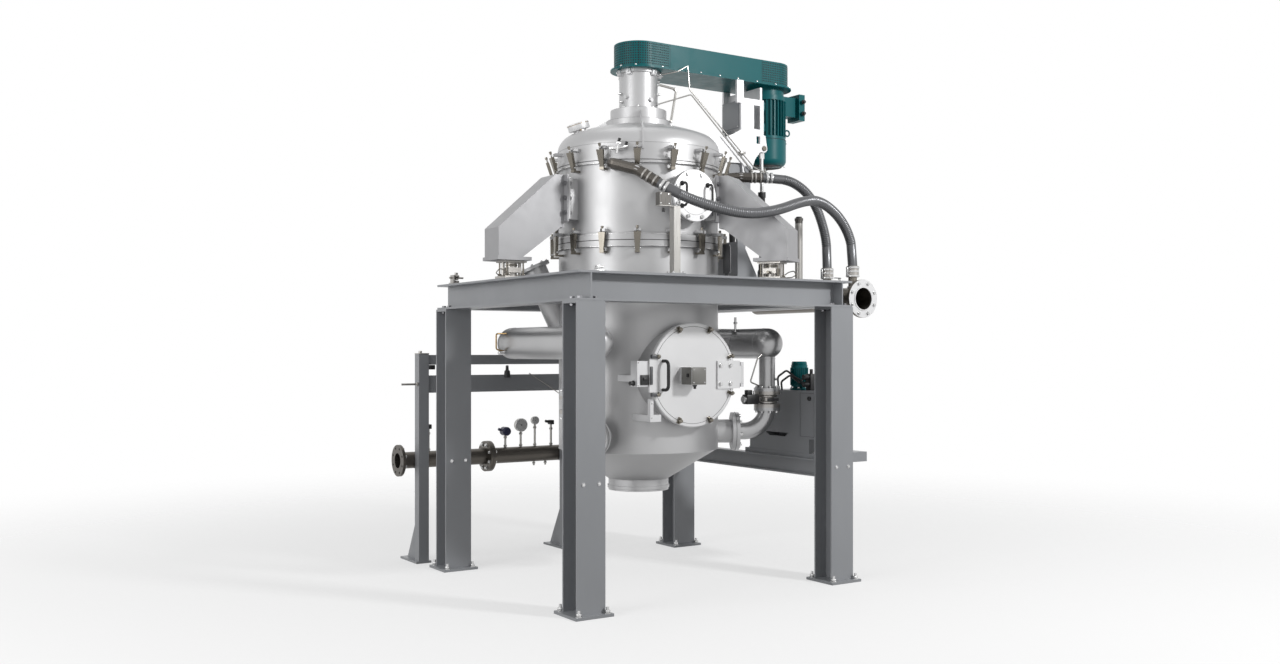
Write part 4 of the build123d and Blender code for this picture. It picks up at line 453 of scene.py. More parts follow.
class Paintbox:
    """Makes each finish once and hands its material out."""

    def __init__(self) -> None:
        """Starts with no materials."""
        self.made: dict[str, bpy.types.Material] = {}

    def get(self, finish: Finish) -> bpy.types.Material:
        """The material of a finish, made at its first use.

        Args:
            finish: the finish.

        Returns:
            Its material.
        """
        if finish.name not in self.made:
            self.made[finish.name] = finish.build()
        return self.made[finish.name]

    def coat(self, piece: Piece, finish: Finish) -> None:
        """Gives a piece one finish all over.

        Args:
            piece: the piece.
            finish: its finish.
        """
        piece.data.materials.clear()
        piece.data.materials.append(self.get(finish))

    def coat_nodes(self, nodes: dict[str, Piece]) -> None:
        """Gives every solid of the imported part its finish.

        Args:
            nodes: the solids by name.
        """
        for finish, names in NODE_FINISHES.items():
            for name in names:
                self.coat(nodes[name], finish)


@dataclass
class Assembly(ABC):
    """A group of fittings, with the operators that model and finish its pieces."""

    paints: Paintbox

    SCREW: ClassVar[tuple[Pair, ...]] = ((1.0, 0.0), (1.0, 0.35), (0.75, 0.62), (0.36, 0.7), (0.36, 0.3),
                                         (0.0, 0.3))

    @abstractmethod
    def build(self) -> None:
        """Makes all the pieces of the group."""

    def free(self) -> None:
        """Deselects everything."""
        bpy.ops.object.select_all(action="DESELECT")

    def only(self, piece: Piece) -> None:
        """Selects one piece and makes it active.

        Args:
            piece: the piece.
        """
        self.free()
        piece.select_set(True)
        bpy.context.view_layer.objects.active = piece

    def place(self, piece: Piece, origin: Point, up: Point = UP, turn: float = 0.0) -> None:
        """Moves a piece that was modelled at the origin to its place, in its mesh.

        Args:
            piece: the piece, with its axis along Z.
            origin: where its origin goes.
            up: where its Z axis points.
            turn: degrees that it is turned about its own axis first.
        """
        piece.data.transform(placing(origin, up, turn))

    def turned(self, name: str, profile: list[Pair], steps: int = 32) -> Piece:
        """A turned piece: a profile of radius and height spun about Z.

        Args:
            name: the piece's name.
            profile: points of radius and height, from the bottom to the top.
            steps: the number of faces round.

        Returns:
            The piece, at the origin.
        """
        mesh = bpy.data.meshes.new(name)
        mesh.from_pydata([(radius, 0.0, height) for radius, height in profile],
                         [(i, i + 1) for i in range(len(profile) - 1)], [])
        piece = new_object(name, mesh)
        self.only(piece)
        bpy.ops.object.mode_set(mode="EDIT")
        bpy.ops.mesh.select_all(action="SELECT")
        bpy.ops.mesh.spin(steps=steps, angle=math.tau, center=(0, 0, 0), axis=UP)
        bpy.ops.mesh.select_all(action="SELECT")
        bpy.ops.mesh.remove_doubles(threshold=1e-5)
        bpy.ops.mesh.normals_make_consistent(inside=False)
        bpy.ops.object.mode_set(mode="OBJECT")
        return piece

    def block(self, name: str, size: Point, centre: Point, bevel: float) -> Piece:
        """A block with rounded edges.

        Args:
            name: the piece's name.
            size: its three sizes.
            centre: where its centre is.
            bevel: the radius of its edges.

        Returns:
            The piece.
        """
        self.free()
        bpy.ops.mesh.primitive_cube_add(size=1.0, location=(0, 0, 0))
        piece = bpy.context.object
        piece.name = name
        piece.data.transform(Matrix.Translation(centre) @ Matrix.Diagonal((*size, 1.0)))
        bpy.ops.object.mode_set(mode="EDIT")
        bpy.ops.mesh.select_all(action="SELECT")
        bpy.ops.mesh.bevel(offset=bevel, segments=2, affect="EDGES")
        bpy.ops.object.mode_set(mode="OBJECT")
        return piece

    def bolt_head(self, name: str, across: float, height: float) -> Piece:
        """A hexagon head on a washer, standing on the XY plane.

        Args:
            name: the piece's name.
            across: the head's width across its corners.
            height: the head's height.

        Returns:
            The piece, at the origin.
        """
        self.free()
        washer = 0.12 * across
        bpy.ops.mesh.primitive_cylinder_add(vertices=16, radius=0.62 * across, depth=washer,
                                            location=(0, 0, washer / 2))
        plate = bpy.context.object
        bpy.ops.object.transform_apply(location=True)
        self.free()
        bpy.ops.mesh.primitive_cylinder_add(vertices=6, radius=across / 2, depth=height,
                                            location=(0, 0, washer + height / 2))
        head = bpy.context.object
        bpy.ops.object.transform_apply(location=True)
        bpy.ops.object.mode_set(mode="EDIT")
        bpy.ops.mesh.select_all(action="SELECT")
        bpy.ops.mesh.bevel(offset=0.06 * across, segments=1, affect="EDGES")
        bpy.ops.object.mode_set(mode="OBJECT")
        plate.select_set(True)
        bpy.ops.object.join()
        head.name = name
        return head

    def pattern(self, master: Piece, places: list[Matrix], name: str) -> Piece:
        """Copies a small piece to many places and joins the copies.

        Args:
            master: the piece at the origin, which is used up.
            places: where the copies go.
            name: the joined piece's name.

        Returns:
            The joined piece.
        """
        copies = []
        for place in places:
            copy = master.copy()
            copy.data = master.data.copy()
            copy.data.transform(place)
            bpy.context.scene.collection.objects.link(copy)
            copies.append(copy)
        bpy.data.objects.remove(master)
        self.only(copies[0])
        for copy in copies:
            copy.select_set(True)
        if len(copies) > 1:
            bpy.ops.object.join()
        joined = bpy.context.view_layer.objects.active
        joined.name = name
        return joined

    def line(self, name: str, points: list[Point], radius: float, smooth: bool = True) -> Piece:
        """A thin tube, lead or wire along points.

        Args:
            name: the piece's name.
            points: the control points of its centre line.
            radius: its radius.
            smooth: a flowing line, or straight runs with small bends.

        Returns:
            The piece, as a mesh.
        """
        curve = bpy.data.curves.new(name, "CURVE")
        curve.dimensions = "3D"
        curve.bevel_depth = radius
        curve.bevel_resolution = 3
        curve.use_fill_caps = True
        spline = curve.splines.new("NURBS")
        route = points if smooth else rounded(points, 6 * radius)
        spline.points.add(len(route) - 1)
        for point, place in zip(spline.points, route):
            point.co = (*place, 1.0)
        spline.order_u = 3
        spline.use_endpoint_u = True
        piece = new_object(name, curve)
        self.only(piece)
        bpy.ops.object.convert(target="MESH")
        return bpy.context.view_layer.objects.active

    def rod(self, name: str, first: Point, second: Point, radius: float, steps: int = 20) -> Piece:
        """A round bar between two points, its ends chamfered.

        Args:
            name: the piece's name.
            first: the middle of its first end.
            second: the middle of its second end.
            radius: its radius.
            steps: the number of faces round.

        Returns:
            The piece, in place.
        """
        along = Vector(second) - Vector(first)
        chamfer = min(0.12 * radius, 0.2 * along.length)
        profile = [(0.0, 0.0), (radius - chamfer, 0.0), (radius, chamfer), (radius, along.length - chamfer),
                   (radius - chamfer, along.length), (0.0, along.length)]
        bar = self.turned(name, profile, steps)
        self.place(bar, first, tuple(along.normalized()))
        return bar

    def hoop(self, name: str, centre: Point, up: Point, inner: float, outer: float, height: float,
             steps: int = 48) -> Piece:
        """A flat ring with rounded edges.

        Args:
            name: the piece's name.
            centre: the middle of its lower face.
            up: its axis.
            inner: its inner radius.
            outer: its outer radius.
            height: its height along the axis.
            steps: the number of faces round.

        Returns:
            The piece, in place.
        """
        edge = 0.2 * min(height, outer - inner)
        ring = self.turned(name, [(inner, 0.0), (outer - edge, 0.0), (outer, edge), (outer, height - edge),
                                  (outer - edge, height), (inner, height), (inner, 0.0)], steps)
        self.place(ring, centre, up)
        return ring

    def bolts(self, name: str, places: list[Matrix], across: float, height: float) -> Piece:
        """Hexagon heads at many places.

        Args:
            name: the joined piece's name.
            places: where the heads go.
            across: a head's width across its corners.
            height: a head's height.

        Returns:
            The heads as one piece.
        """
        return self.pattern(self.bolt_head(name + "_head", across, height), places, name)

    def screws(self, name: str, places: list[Matrix], radius: float) -> Piece:
        """Round screw heads with a hollow in the middle, at many places.

        Args:
            name: the joined piece's name.
            places: where the heads go.
            radius: a head's radius.

        Returns:
            The heads as one piece.
        """
        head = self.turned(name + "_head", [(share * radius, rise * radius) for share, rise in self.SCREW], 10)
        return self.pattern(head, places, name)

    def merge(self, name: str, pieces: list[Piece]) -> Piece:
        """Joins pieces into one.

        Args:
            name: the joined piece's name.
            pieces: the pieces, which are used up.

        Returns:
            The joined piece.
        """
        self.only(pieces[0])
        for piece in pieces:
            piece.select_set(True)
        if len(pieces) > 1:
            bpy.ops.object.join()
        joined = bpy.context.view_layer.objects.active
        joined.name = name
        return joined

    def deliver(self, piece: Piece, finish: Finish, body: Body = Body.MILL, smooth: float = 35.0) -> None:
        """Finishes a piece: smooth shading, its paint, and the body that it rides on.

        Args:
            piece: the piece, in place.
            finish: its finish.
            body: the body that carries it.
            smooth: the angle in degrees above which an edge stays sharp.
        """
        self.only(piece)
        bpy.ops.object.shade_smooth_by_angle(angle=math.radians(smooth))
        self.paints.coat(piece, finish)
        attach(piece, body.value)

    def assemble(self, name: str, pieces: list[Piece], finish: Finish, body: Body = Body.MILL) -> None:
        """Joins pieces into one and finishes it.

        Args:
            name: the joined piece's name.
            pieces: the pieces, in place, which are used up.
            finish: the finish of all of them.
            body: the body that carries them.
        """
        self.deliver(self.merge(name, pieces), finish, body)


def new_object(name: str, data: bpy.types.ID) -> Piece:
    """A new object in the scene.

    Args:
        name: its name.
        data: its mesh, curve, camera or lamp.

    Returns:
        The object.
    """
    item = bpy.data.objects.new(name, data)
    bpy.context.scene.collection.objects.link(item)
    return item


def placing(origin: Point, up: Point = UP, turn: float = 0.0) -> Matrix:
    """The matrix that carries a piece modelled along Z to its place.

    Args:
        origin: where its origin goes.
        up: where its Z axis points.
        turn: degrees that it is turned about its own axis first.

    Returns:
        The matrix.
    """
    lean = Vector(UP).rotation_difference(Vector(up)).to_matrix().to_4x4()
    return Matrix.Translation(origin) @ lean @ Matrix.Rotation(math.radians(turn), 4, "Z")


def rounded(points: list[Point], reach: float) -> list[Point]:
    """Control points that keep runs straight and round their corners.

    Args:
        points: the corners.
        reach: how far from a corner its bend starts.

    Returns:
        The points, with one more on each side of every corner.
    """
    places = [Vector(point) for point in points]
    route = [places[0]]
    for before, here, after in zip(places, places[1:], places[2:]):
        back = (before - here).normalized() * min(reach, (before - here).length / 2)
        ahead = (after - here).normalized() * min(reach, (after - here).length / 2)
        route += [here + back, here, here + ahead]
    route.append(places[-1])
    return [(place.x, place.y, place.z) for place in route]


def circle(centre: Point, up: Point, radius: float, count: int, start: float = 0.0) -> list[Matrix]:
    """Places on a bolt circle.

    Args:
        centre: the circle's centre.
        up: the circle's axis, along which each bolt points.
        radius: the circle's radius.
        count: the number of places.
        start: the first place's angle in degrees.

    Returns:
        One matrix for each place.
    """
    base = placing(centre, up)
    return [base @ Matrix.Rotation(math.radians(start + 360 * index / count), 4, "Z")
            @ Matrix.Translation((radius, 0, 0)) for index in range(count)]


@dataclass
class SpiralHose:
    """A hose of interlocked metal strip: narrow rings on a flowing centre line, with plain cuffs."""

    name: str
    node: str
    route: list[Point]
    length: float
    diameter: float = 0.07
    pitch: float = 0.0135
    groove: float = 0.0032
    cuff: float = 0.16
    sides: int = 24
    step_in: float = 0.001
    crest: Triple = (0.18, 0.72, 0.9)  # where a ring rises, falls and ends

    def centre_line(self) -> list[Vector]:
        """The smooth line through the route.

        Returns:
            Close points along it.
        """
        curve = bpy.data.curves.new(self.name + "_line", "CURVE")
        curve.dimensions = "3D"
        spline = curve.splines.new("NURBS")
        spline.points.add(len(self.route) - 1)
        for point, place in zip(spline.points, self.route):
            point.co = (*place, 1.0)
        spline.order_u = 3
        spline.use_endpoint_u = True
        spline.resolution_u = 24
        holder = new_object(self.name + "_line", curve)
        bpy.context.view_layer.update()
        mesh = bpy.data.meshes.new_from_object(holder.evaluated_get(bpy.context.evaluated_depsgraph_get()))
        line = [vertex.co.copy() for vertex in mesh.vertices]
        bpy.data.objects.remove(holder)
        bpy.data.meshes.remove(mesh)
        return line

    def stations(self, run: float) -> list[Pair]:
        """Distances along the hose with the radius there.

        Args:
            run: the length of the centre line.

        Returns:
            Pairs of distance and radius.
        """
        full = self.diameter / 2
        cuff = full - self.step_in
        marks = [(0.0, cuff), (self.cuff - self.step_in, cuff)]
        count = int((run - 2 * self.cuff) / self.pitch)
        step = (run - 2 * self.cuff) / count
        rise, fall, foot = self.crest
        for ring in range(count):
            start = self.cuff + ring * step
            marks += [(start, full - self.groove), (start + rise * step, full), (start + fall * step, full),
                      (start + foot * step, full - self.groove)]
        marks += [(run - self.cuff + self.step_in, cuff), (run, cuff)]
        return marks

    def build(self, owner: Assembly) -> list[Point]:
        """Args:
            owner: the assembly that finishes the hose.

        Returns:
            The points of its centre line.
        """
        line = self.centre_line()
        lengths = [0.0]
        for first, second in zip(line, line[1:]):
            lengths.append(lengths[-1] + (second - first).length)
        vertices, faces = [], []
        side = Vector(UP).cross(line[1] - line[0]).normalized()
        segment = 0
        marks = self.stations(lengths[-1])
        for distance, radius in marks:
            while segment < len(line) - 2 and lengths[segment + 1] < distance:
                segment += 1
            share = (distance - lengths[segment]) / (lengths[segment + 1] - lengths[segment])
            centre = line[segment].lerp(line[segment + 1], min(share, 1.0))
            before = (line[segment + 1] - line[segment]).normalized()
            ahead = line[min(segment + 2, len(line) - 1)]
            after = (ahead - line[min(segment + 1, len(line) - 2)]).normalized()
            forward = before.lerp(after, min(share, 1.0)).normalized()
            side = (side - forward * side.dot(forward)).normalized()
            other = forward.cross(side)
            for corner in range(self.sides):
                angle = math.tau * corner / self.sides
                vertices.append(centre + radius * (math.cos(angle) * side + math.sin(angle) * other))
        for ring in range(len(marks) - 1):
            for corner in range(self.sides):
                here, there = ring * self.sides, (ring + 1) * self.sides
                along = (corner + 1) % self.sides
                faces.append((here + corner, here + along, there + along, there + corner))
        last = (len(marks) - 1) * self.sides
        faces.append(tuple(reversed(range(self.sides))))
        faces.append(tuple(range(last, last + self.sides)))
        mesh = bpy.data.meshes.new(self.name)
        mesh.from_pydata(vertices, [], faces)
        piece = new_object(self.name, mesh)
        owner.deliver(piece, HOSE, smooth=60.0)
        points = [(point.x, point.y, point.z) for point in line]
        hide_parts(self.node)
        return points


@dataclass
class HoseSet(Assembly):
    """Both hoses with their clamps."""

    clamp_reach: Pair = (0.03, 0.06)  # along the hose
    clamp_turn: float = 40.0
    front_route: list[Point] = field(default_factory=lambda: [
        (-0.291, -0.69, 2.707), (-0.2094, -0.7732, 2.6342), (-0.02, -0.893, 2.549), (0.21, -0.99, 2.5),
        (0.455, -1.008, 2.54), (0.699, -0.965, 2.621), (0.9, -0.908, 2.652), (1.1, -0.862, 2.585),
        (1.225, -0.845, 2.475), (1.29, -0.838, 2.34), (1.29, -0.838, 2.21)])
    rear_route: list[Point] = field(default_factory=lambda: [
        (0.825, -0.388, 2.862), (0.97, -0.458, 2.862), (1.11, -0.505, 2.795), (1.215, -0.532, 2.67),
        (1.275, -0.557, 2.48), (1.29, -0.567, 2.345), (1.29, -0.567, 2.21)])
    front_length: float = 1.998
    rear_length: float = 0.953

    def band(self, places: list[Matrix], name: str) -> Piece:
        """A clamp band with its screw housing, at each place.

        Args:
            places: where the bands go, with Z along the hose.
            name: the piece's name.

        Returns:
            The bands as one piece.
        """
        profile = [(0.0365, -0.009), (0.0385, -0.009), (0.0392, -0.006), (0.0392, 0.006), (0.0385, 0.009),
                   (0.0365, 0.009), (0.0365, -0.009)]
        ring = self.turned(name + "_ring", profile, 40)
        housing = self.block(name + "_housing", (0.014, 0.032, 0.016), (0.045, 0.0, 0.0), 0.003)
        screw = self.bolt_head(name + "_screw", 0.011, 0.008)
        self.place(screw, (0.046, 0.016, 0.0), BACK)
        return self.pattern(self.merge(name, [ring, housing, screw]), places, name)

    def build(self) -> None:
        """Makes the hoses, then the clamps over their ends."""
        for end, route, length in (("front", self.front_route, self.front_length),
                                   ("rear", self.rear_route, self.rear_length)):
            name = f"spiral_hose_{end}"
            hose = SpiralHose(name, f"hose_{end}", route, length)
            line = [Vector(point) for point in hose.build(self)]
            places = []
            for reach in self.clamp_reach:
                walked = 0.0
                for first, second in zip(line, line[1:]):
                    walked += (second - first).length
                    if walked >= reach:
                        places.append(placing(tuple(second), tuple(second - first), self.clamp_turn))
                        break
            self.deliver(self.band(places, name + "_clamps"), BRIGHT)
            LOG.info("%s is %d points long", name, len(line))


def radial(azimuth: float, radius: float, height: float) -> Point:
    """A point at an azimuth and a radius from the vessel's axis.

    Args:
        azimuth: degrees from the X axis.
        radius: the distance from the axis.
        height: the height above the floor.

    Returns:
        The point.
    """
    turn = math.radians(azimuth)
    return (radius * math.cos(turn), radius * math.sin(turn), height)


def outward(azimuth: float, radius: float, height: float) -> Matrix:
    """The matrix that carries a piece modelled at the origin to an azimuth, its X axis pointing outward.

    Args:
        azimuth: degrees from the X axis.
        radius: the distance from the vessel's axis.
        height: the height above the floor.

    Returns:
        The matrix.
    """
    return Matrix.Translation(radial(azimuth, radius, height)) @ Matrix.Rotation(math.radians(azimuth), 4, "Z")


def corners(first: float, second: float) -> list[Pair]:
    """The four corners of a rectangle about its middle.

    Args:
        first: half of its first side.
        second: half of its second side.

    Returns:
        Pairs of distances from the middle.
    """
    return [(one * first, other * second) for one in SIDES for other in SIDES]


@dataclass
class FrameFittings(Assembly):
    """Nuts on the foot plates, bolts on the column flanges, and the jack and the stop on the table."""

    column: Pair = (1.011, 0.945)  # half of the columns' distances
    anchor: Point = (0.1, 0.112, 0.018)  # from the column, and its height
    flange_bolt: Pair = (0.055, 0.8)  # from the column's middle, and its height
    flange_faces: Pair = (-1.033, 0.857)
    table_top: float = 2.088
    jack: Pair = (-1.01, 0.9)
    # height and radius of each nut
    jack_nuts: tuple[Pair, ...] = ((0.014, 0.024), (0.034, 0.018), (0.054, 0.025), (0.072, 0.014))
    stop: Pair = (-0.905, -0.945)

    def anchors(self) -> None:
        """Nuts with washers and stud ends on the four foot plates."""
        nut = self.bolt_head("anchor_nut", 0.036, 0.017)
        stud = self.rod("anchor_stud", (0, 0, 0.012), (0, 0, 0.04), 0.0095, 12)
        places = [Matrix.Translation((sx * self.column[0] + ax * self.anchor[0],
                                      sy * self.column[1] + ay * self.anchor[1], self.anchor[2]))
                  for sx in SIDES for sy in SIDES for ax in SIDES for ay in SIDES]
        self.deliver(self.pattern(self.merge("anchor", [nut, stud]), places, "anchor_nuts"), BRIGHT)

    def flange_screws(self) -> None:
        """Two bolts low on the front flange of each column."""
        offset, height = self.flange_bolt
        places = [placing((sx * self.column[0] + side * offset, y, height), FRONT)
                  for sx in SIDES for y in self.flange_faces for side in SIDES]
        self.deliver(self.bolts("column_flange_bolts", places, 0.02, 0.007), BRIGHT)

    def table_jack(self) -> None:
        """The stack of nuts on the rear left corner of the table."""
        x, y = self.jack
        z = self.table_top
        pieces = [self.block("jack_base", (0.09, 0.07, 0.014), (x, y, z + 0.007), 0.002),
                  self.block("jack_ear", (0.012, 0.06, 0.06), (x - 0.03, y, z + 0.04), 0.003),
                  self.rod("jack_cross", (x - 0.055, y, z + 0.05), (x + 0.055, y, z + 0.05), 0.007)]
        for height, radius in self.jack_nuts:
            pieces.append(self.hoop("jack_nut", (x, y, z + height), UP, 0.004, radius, 0.016, 6))
        self.assemble("table_jack", pieces, PIPE)

    def table_stop(self) -> None:
        """The stop on the front left corner of the table."""
        x, y = self.stop
        z = self.table_top
        stop = [self.block("stop_base", (0.08, 0.05, 0.01), (x, y, z + 0.005), 0.002),
                self.block("stop_block", (0.022, 0.036, 0.03), (x - 0.012, y, z + 0.024), 0.003),
                self.rod("stop_pin", (x - 0.03, y, z + 0.03), (x + 0.032, y, z + 0.03), 0.006)]
        self.assemble("table_stop", stop, BRIGHT)

    def build(self) -> None:
        """Makes all the fittings."""
        self.anchors()
        self.flange_screws()
        self.table_jack()
        self.table_stop()


@dataclass
class VesselTrim(Assembly):
    """Welds, seams and flange bolts of the two vessels, and the switch box at their joint."""

    shell: float = 0.57
    rim: float = 0.592
    lower_seam: float = 2.348
    upper_seam: float = 2.888
    lips: Triple = (2.3885, 2.305, 2.867)
    shell_welds: Triple = (0.9075, 1.93, 2.4)
    cone_weld: Pair = (0.69, 0.215)  # height and radius
    drain: float = 0.628
    nozzle: Triple = (0.72, 1.025, 0.112)  # radius, height and bolt circle
    nozzle_azimuths: Triple = (-30.0, 90.0, 210.0)
    chute: Triple = (150.0, 24.0, 2.055)  # azimuth, tilt and height
    chute_foot: float = 0.682
    chute_flanges: Pair = (0.016, 0.165)
    chute_bolts: float = 0.099
    switch_azimuth: float = -46.0
    switch_height: float = 2.25

    def seams(self) -> None:
        """Dark joints between the flanges, bright lips above and below them, and weld beads."""
        joints = [self.hoop("joint", (0, 0, height), UP, self.rim - 0.006, self.rim + 0.0012, 0.005, 96)
                  for height in (self.lower_seam - 0.0025, self.upper_seam - 0.0045)]
        self.assemble("vessel_joints", joints, SEAM)
        lips = [self.hoop("lip", (0, 0, height), UP, self.rim - 0.01, self.rim + 0.0018, 0.004, 96)
                for height in self.lips]
        self.assemble("vessel_lips", lips, BRIGHT)
        low, middle, high = ((height, self.shell) for height in self.shell_welds)
        beads = [self.hoop("bead", (0, 0, height), UP, radius - 0.004, radius + 0.0016, 0.007, 96)
                 for height, radius in (low, middle, self.cone_weld, high)]
        beads.append(self.hoop("drain_clamp", (0, 0, self.drain), UP, 0.214, 0.222, 0.022, 64))
        self.assemble("vessel_welds", beads, VESSEL)

    def nozzle_bolts(self) -> None:
        """Bolts and gaskets of the three nozzle flanges."""
        places, gaskets = [], []
        radius, height, bolt_circle = self.nozzle
        for azimuth in self.nozzle_azimuths:
            out = radial(azimuth, 1.0, 0.0)
            places += circle(radial(azimuth, radius, height), out, bolt_circle, 8, 22.5)
            seat = radial(azimuth, radius - 0.0275, height)
            gaskets.append(self.hoop("gasket", seat, out, 0.1, 0.1365, 0.003))
        self.deliver(self.bolts("nozzle_bolts", places, 0.026, 0.013), BRIGHT)
        self.assemble("nozzle_gaskets", gaskets, SEAM)

    def chute_fittings(self) -> None:
        """Bolts of the feed chute's two flanges, and the lid over its mouth."""
        azimuth, tilt, height = self.chute
        slant = math.radians(tilt)
        out = radial(azimuth, math.sin(slant), math.cos(slant))
        foot = radial(azimuth, self.chute_foot, height)
        joint, mouth = (tuple(a + along * b for a, b in zip(foot, out)) for along in self.chute_flanges)
        spots = circle(joint, out, self.chute_bolts, 8, 10.0) + circle(mouth, out, self.chute_bolts, 8, 10.0)
        self.deliver(self.bolts("chute_bolts", spots, 0.018, 0.009), BRIGHT)
        disc = self.turned("chute_lid", [(0.0, -0.004), (0.076, -0.004), (0.0785, 0.0), (0.07, 0.006),
                                         (0.0, 0.007)])
        self.place(disc, tuple(a - 0.012 * b for a, b in zip(mouth, out)), out)
        self.deliver(disc, HEADER)

    def seam_switch(self) -> None:
        """The dark box beside the front arm."""
        azimuth = self.switch_azimuth
        parts = []
        for name, size, reach in (("seam_box", (0.044, 0.06, 0.205), 0.64),
                                  ("seam_box_lid", (0.006, 0.05, 0.18), 0.664)):
            part = self.block(name, size, (0, 0, 0), 0.003)
            part.data.transform(outward(azimuth, reach, self.switch_height))
            parts.append(part)
        parts += [self.rod("seam_box_stay", radial(azimuth, 0.586, 2.345), radial(azimuth, 0.625, 2.345), 0.01),
                  self.rod("seam_box_gland", radial(azimuth, 0.64, 2.13), radial(azimuth, 0.64, 2.15), 0.012)]
        self.assemble("seam_switch", parts, DARK_PAINT)

    def build(self) -> None:
        """Makes all the trim."""
        self.seams()
        self.nozzle_bolts()
        self.chute_fittings()
        self.seam_switch()


@dataclass
class LatchPins(Assembly):
    """Pivot pins and collars of the two rings of toggle latches."""

    radius: float = 0.618
    count: int = 16
    pivots: Pair = (2.848, 2.29)
    leans: Pair = (18.0, 0.0)
    collar: float = 0.118

    def build(self) -> None:
        """Makes a pin with two heads and a collar at every latch."""
        pin = self.turned("latch_pin", [(0.0, -0.022), (0.0065, -0.022), (0.0075, -0.0205), (0.0075, -0.018),
                                        (0.004, -0.018), (0.004, 0.018), (0.0075, 0.018), (0.0075, 0.0205),
                                        (0.0065, 0.022), (0.0, 0.022)], 10)
        self.place(pin, (0, 0, 0), BACK)
        collar = self.hoop("latch_collar", (0, 0, self.collar), UP, 0.005, 0.0078, 0.008, 10)
        latch = self.merge("latch_trim", [pin, collar])
        places = []
        for pivot, lean in zip(self.pivots, self.leans):
            for index in range(self.count):
                azimuth = 180 / self.count + 360 * index / self.count
                places.append(outward(azimuth, self.radius, pivot) @ Matrix.Rotation(math.radians(lean), 4, "Y"))
        self.deliver(self.pattern(latch, places, "latch_pins"), BRIGHT)


@dataclass
class StubTrim(Assembly):
    """The dark skins and the clamps of the purge stubs."""

    front: list[Point] = field(default_factory=lambda: [
        (-0.43, -0.3845, 2.849), (-0.507, -0.453, 2.849), (-0.393, -0.586, 2.798), (-0.291, -0.69, 2.707)])
    rear: list[Point] = field(default_factory=lambda: [
        (0.545, -0.241, 2.852), (0.68, -0.318, 2.862), (0.825, -0.388, 2.862)])
    skin: float = 0.0368
    bend: float = 0.04
    front_bands: Triple = (0.3, 0.52, 0.8)
    rear_bands: Triple = (0.45, 0.62, 0.86)

    def build(self) -> None:
        """Makes the skins and the clamps."""
        for end, route in (("front", self.front), ("rear", self.rear)):
            self.deliver(self.line(f"stub_skin_{end}", rounded(route, self.bend), self.skin), STUB)
        bands = []
        for route, shares in ((self.front, self.front_bands), (self.rear, self.rear_bands)):
            first, second = (Vector(point) for point in route[-2:])
            along = second - first
            for share in shares:
                spot = first + share * along
                bands.append(self.hoop("stub_band", tuple(spot), tuple(along.normalized()), 0.034, 0.0405,
                                       0.012))
        self.assemble("stub_bands", bands, PIPE)


@dataclass
class ArmTrim(Assembly):
    """Nuts, rods, collars and leads of the load cells under the three support arms."""

    azimuths: Triple = (180.0, -60.0, 60.0)
    cell_radius: float = 1.0185
    table_top: float = 2.088
    nuts: Pair = (0.062, 0.052)
    plate: float = 0.014
    rod_top: float = 0.104
    collars: Pair = (0.06, 0.084)
    lead: list[Point] = field(default_factory=lambda: [
        (0.05, 0.07, 0.02), (0.09, 0.08, 0.05), (0.128, 0.08, 0.058), (0.15, 0.07, 0.03),
        (0.12, 0.06, 0.012), (0.08, 0.066, 0.012)])

    def cell(self, name: str) -> Piece:
        """The fittings of one load cell.

        Args:
            name: the piece's name.

        Returns:
            The fittings as one piece, at the origin.
        """
        spots = corners(*self.nuts)
        nuts = self.bolts("cell_nuts", [Matrix.Translation((x, y, self.plate)) for x, y in spots], 0.026, 0.014)
        rods = [self.rod("cell_rod", (x, y, self.plate), (x, y, self.rod_top), 0.0055, 12) for x, y in spots]
        collars = [self.hoop("cell_collar", (0, 0, z), UP, 0.03, 0.041, 0.01, 24) for z in self.collars]
        lead = self.line("cell_loop", self.lead, 0.0035, False)
        plug = self.rod("cell_plug", (0.0, -0.055, 0.045), (0.0, -0.085, 0.045), 0.01)
        return self.merge(name, [nuts, lead, plug] + rods + collars)

    def build(self) -> None:
        """Makes the fittings of each load cell."""
        for azimuth in self.azimuths:
            piece = self.cell(f"load_cell_trim_{int(azimuth) % 360}")
            piece.data.transform(outward(azimuth, self.cell_radius, self.table_top))
            self.deliver(piece, LATCH)


